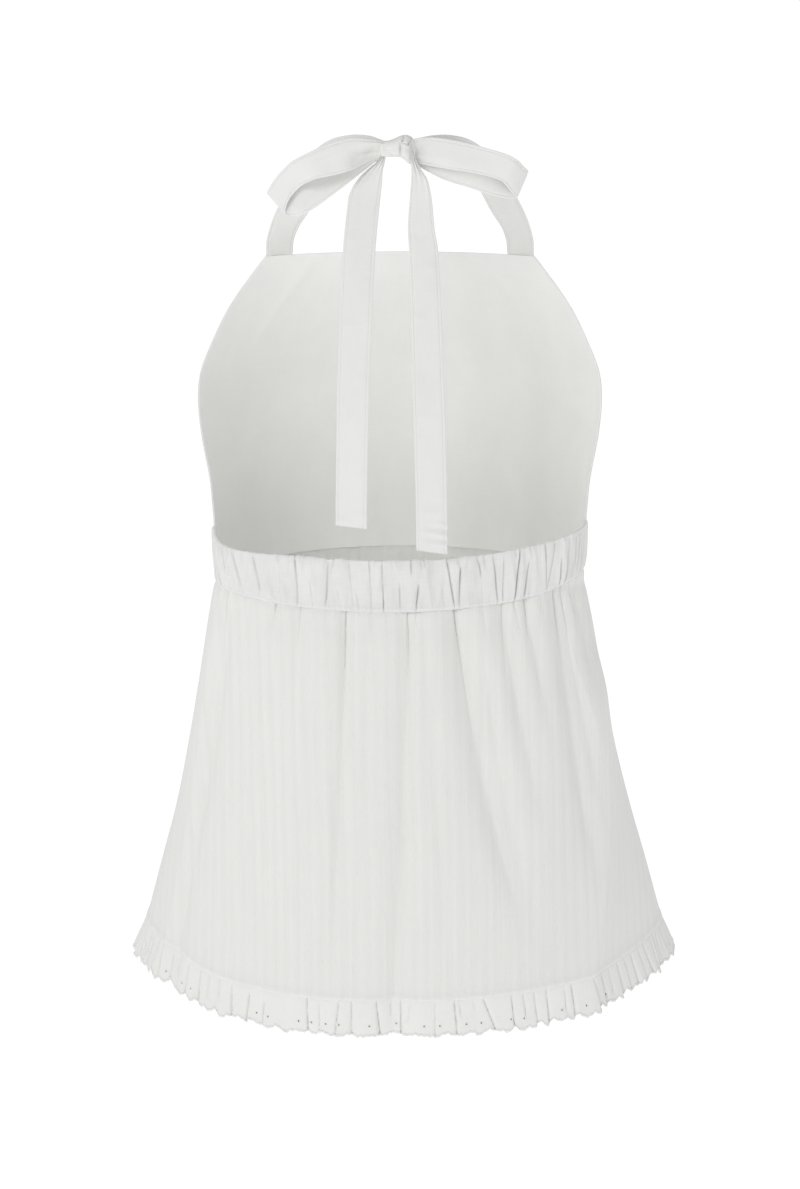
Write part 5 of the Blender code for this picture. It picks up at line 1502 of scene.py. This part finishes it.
def grown(name, mesh, tree, sizes, material):
    """Runs a tree on a mesh and returns the result as a plain mesh object."""
    seedling = bpy.data.objects.new(name + "_lines", mesh)
    bpy.context.scene.collection.objects.link(seedling)
    modifier = seedling.modifiers.new("grow", "NODES")
    modifier.node_group = tree
    for label, value in sizes.items():
        modifier[socket_id(tree, label)] = value
    modifier[socket_id(tree, "Material")] = material
    bpy.context.view_layer.update()
    graph = bpy.context.evaluated_depsgraph_get()
    plain = bpy.data.meshes.new_from_object(seedling.evaluated_get(graph))
    seedling.modifiers.remove(modifier)
    bpy.data.objects.remove(seedling)
    plain.name = name
    plain.shade_smooth()
    piece = bpy.data.objects.new(name, plain)
    bpy.context.scene.collection.objects.link(piece)
    print(name, len(plain.polygons), "faces")
    return piece


STITCH_TREE, RIM_TREE, BAR_TREE = stitch_tree(), rim_tree(), bar_tree()
print("trees:", ", ".join(tree.name for tree in (STITCH_TREE, RIM_TREE, BAR_TREE)))

# %% [markdown]
# ## Rows of stitches
# The rows of stitches follow the seams: along both edges of every tie, above the ruffle seam where the
# allowance is caught down, and along the casing's lower edge. Each line lies on the cloth it is sewn
# through, so it is read from the same rings of points or the same placing function.

# %% Stitch rows
HEM_ROW, HEM_ENDS, HEM_POINTS = 3.1 * MM, 0.004, 500
WAIST_OUT, WAIST_ENDS = 0.1 * MM, 8


def line_mesh(name, lines):
    """Lines of points as a mesh of edges."""
    points = np.concatenate(lines)
    starts = np.cumsum([0] + [len(line) for line in lines])
    edges = [(i, i + 1) for start, line in zip(starts, lines) for i in range(start, start + len(line) - 1)]
    mesh = bpy.data.meshes.new(name)
    mesh.from_pydata(points.tolist(), edges, [])
    return mesh


def tie_lines(rings, skip_start, skip_end):
    """Both faces' topstitching along a tie's two edges, in its grooves."""
    keep = slice(int(len(rings) * skip_start), len(rings) - int(len(rings) * skip_end))
    edge, around = TIE_SIDES.index(STITCH_AT), 2 * len(TIE_SIDES)
    return [rings[keep, k] for k in (edge, around - 1 - edge, around + edge - 1, 2 * around - 2 - edge)]


def sewn(name, lines, pitch, length, thread):
    """A row of stitches along each line, sized in millimetres."""
    sizes = {"Pitch": pitch * MM, "Length": length * MM, "Thread": thread * MM}
    return grown(name, line_mesh(name + "_rows", lines), STITCH_TREE, sizes, THREAD)


def hem_line(middle):
    """The line that catches down the seam allowance, just above a ruffle."""
    across, place = np.linspace(HEM_ENDS, 1 - HEM_ENDS, HEM_POINTS), skirt_place(middle)
    up = np.full_like(across, HEM_ROW / SKIRT_LENGTH)
    on_cloth = place(across, up)
    right, upward = place(across + FACING_ACROSS, up) - on_cloth, place(across, up + FACING_ACROSS) - on_cloth
    return on_cloth + unit(np.cross(right, upward)) * SKIRT_THICKNESS / 2


TIE_ROWS = (  # rings, shares left bare at the start and the end
    (strap_left_rings, 0.1, 0.08), (strap_right_rings, 0.1, 0.08), (loop_left_rings, 0.08, 0.08),
    (loop_right_rings, 0.08, 0.08), (tail_left_rings, 0.1, 0.0), (tail_right_rings, 0.1, 0.0),
)
tie_stitches = sewn("tie_stitches", [line for row in TIE_ROWS for line in tie_lines(*row)], 2.6, 1.8, 0.26)
hem_stitches = sewn("hem_stitches", [hem_line(0), hem_line(180)], 2.8, 1.9, 0.28)
seam_points = casing_rings[WAIST_ENDS:-WAIST_ENDS, SEAM_ROW]
seam_out = unit(seam_points * np.array([1, 1, 0]) - np.array([0, AXIS_Y, 0]))
waist_stitches = sewn("waist_stitches", [seam_points + seam_out * WAIST_OUT], 3.1, 2.0, 0.42)

# %% [markdown]
# ## Eyelet rims and the scalloped edge
# A real eyelet is a small hole whose edge is wrapped in thread, so each dent gets a ring that is deeper
# than the cloth is thick. Satin stitch wraps the scalloped edge: short bars of thread side by side, each
# at a right angle to the edge. Both read their place and their direction from the ruffle itself.

# %% Eyelets and scallops
def points_with(name, label, points, vectors):
    """Loose points that carry one direction each."""
    mesh = bpy.data.meshes.new(name)
    mesh.from_pydata(np.concatenate(points).tolist(), [], [])
    attribute = mesh.attributes.new(label, "FLOAT_VECTOR", "POINT")
    attribute.data.foreach_set("vector", np.concatenate(vectors).ravel())
    return mesh


RIM_CLEAR = 0.03 * MM
eyelets = ((back_place, back_eyelets), (front_place, front_eyelets))
eyelet_mesh = points_with("eyelet_points", "facing", [place(*holes.T) for place, holes in eyelets],
                          [facing_of(place, *holes.T) for place, holes in eyelets])
eyelet_rims = grown("eyelet_rims", eyelet_mesh, RIM_TREE,
                    {"Radius": EYELET_RADIUS + RIM_CLEAR, "Thread": EYELET_RIM}, THREAD)

BAR_PITCH, BAR_LENGTH, BAR_THREAD = 0.62 * MM, 2.1 * MM, 0.5 * MM
BAR_UP, BAR_OUT, BAR_LAY = 0.85 * MM / RUFFLE_DROP, 0.32 * MM, 0.03
BAR_ENDS, BAR_PLACES = 0.001, 6000


def scallop_bars(name, place, run_of):
    """Bars of thread side by side along a ruffle's scalloped edge."""
    across = np.linspace(BAR_ENDS, 1 - BAR_ENDS, BAR_PLACES)
    run = run_of(across)
    across = np.interp(np.arange(run.min(), run.max(), BAR_PITCH), np.sort(run), across[np.argsort(run)])
    up = np.full_like(across, BAR_UP)
    lay = unit(place(across, up + BAR_LAY) - place(across, up - BAR_LAY))
    points = place(across, up) + facing_of(place, across, up) * BAR_OUT
    return grown(name, points_with(name + "_points", "lay", [points], [lay]), BAR_TREE,
                 {"Length": BAR_LENGTH, "Thread": BAR_THREAD}, THREAD)


back_bars = scallop_bars("scallop_bars_back", back_place, back_run)
front_bars = scallop_bars("scallop_bars_front", front_place, front_run)

# %% [markdown]
# ## Hang each piece on the body
# Every piece rides on the top's one body and stands in for its node, whose imported part is hidden. The
# stitches, the eyelet rims and the satin bars ride on the same body.

DRESSED = (  # piece, node, slot
    (bib, "front_bib", "shell_cotton"), (lining, "bib_lining", "lining_cotton"),
    (casing, "back_casing", "casing_cotton"), (skirt_back, "skirt_back", "shell_cotton"),
    (skirt_front, "skirt_front", "shell_cotton"), (ruffle_back, "ruffle_back", "ruffle_cotton"),
    (ruffle_front, "ruffle_front", "ruffle_cotton"), (strap_left, "strap_left", "tie_cotton"),
    (strap_right, "strap_right", "tie_cotton"), (loop_left, "bow_loop_left", "tie_cotton"),
    (loop_right, "bow_loop_right", "tie_cotton"), (knot, "bow_knot", "tie_cotton"),
    (tail_left, "tail_left", "tie_cotton"), (tail_right, "tail_right", "tie_cotton"),
)
for piece, node, slot in DRESSED:
    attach(piece, "root")
    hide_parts(node)
for piece, slot in ((tie_stitches, "tie_cotton"), (hem_stitches, "shell_cotton"), (eyelet_rims, "ruffle_cotton"),
                    (back_bars, "ruffle_cotton"), (front_bars, "ruffle_cotton"), (waist_stitches, "casing_cotton")):
    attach(piece, "root")

print("declared", len(DRESSED), "pieces of cloth")
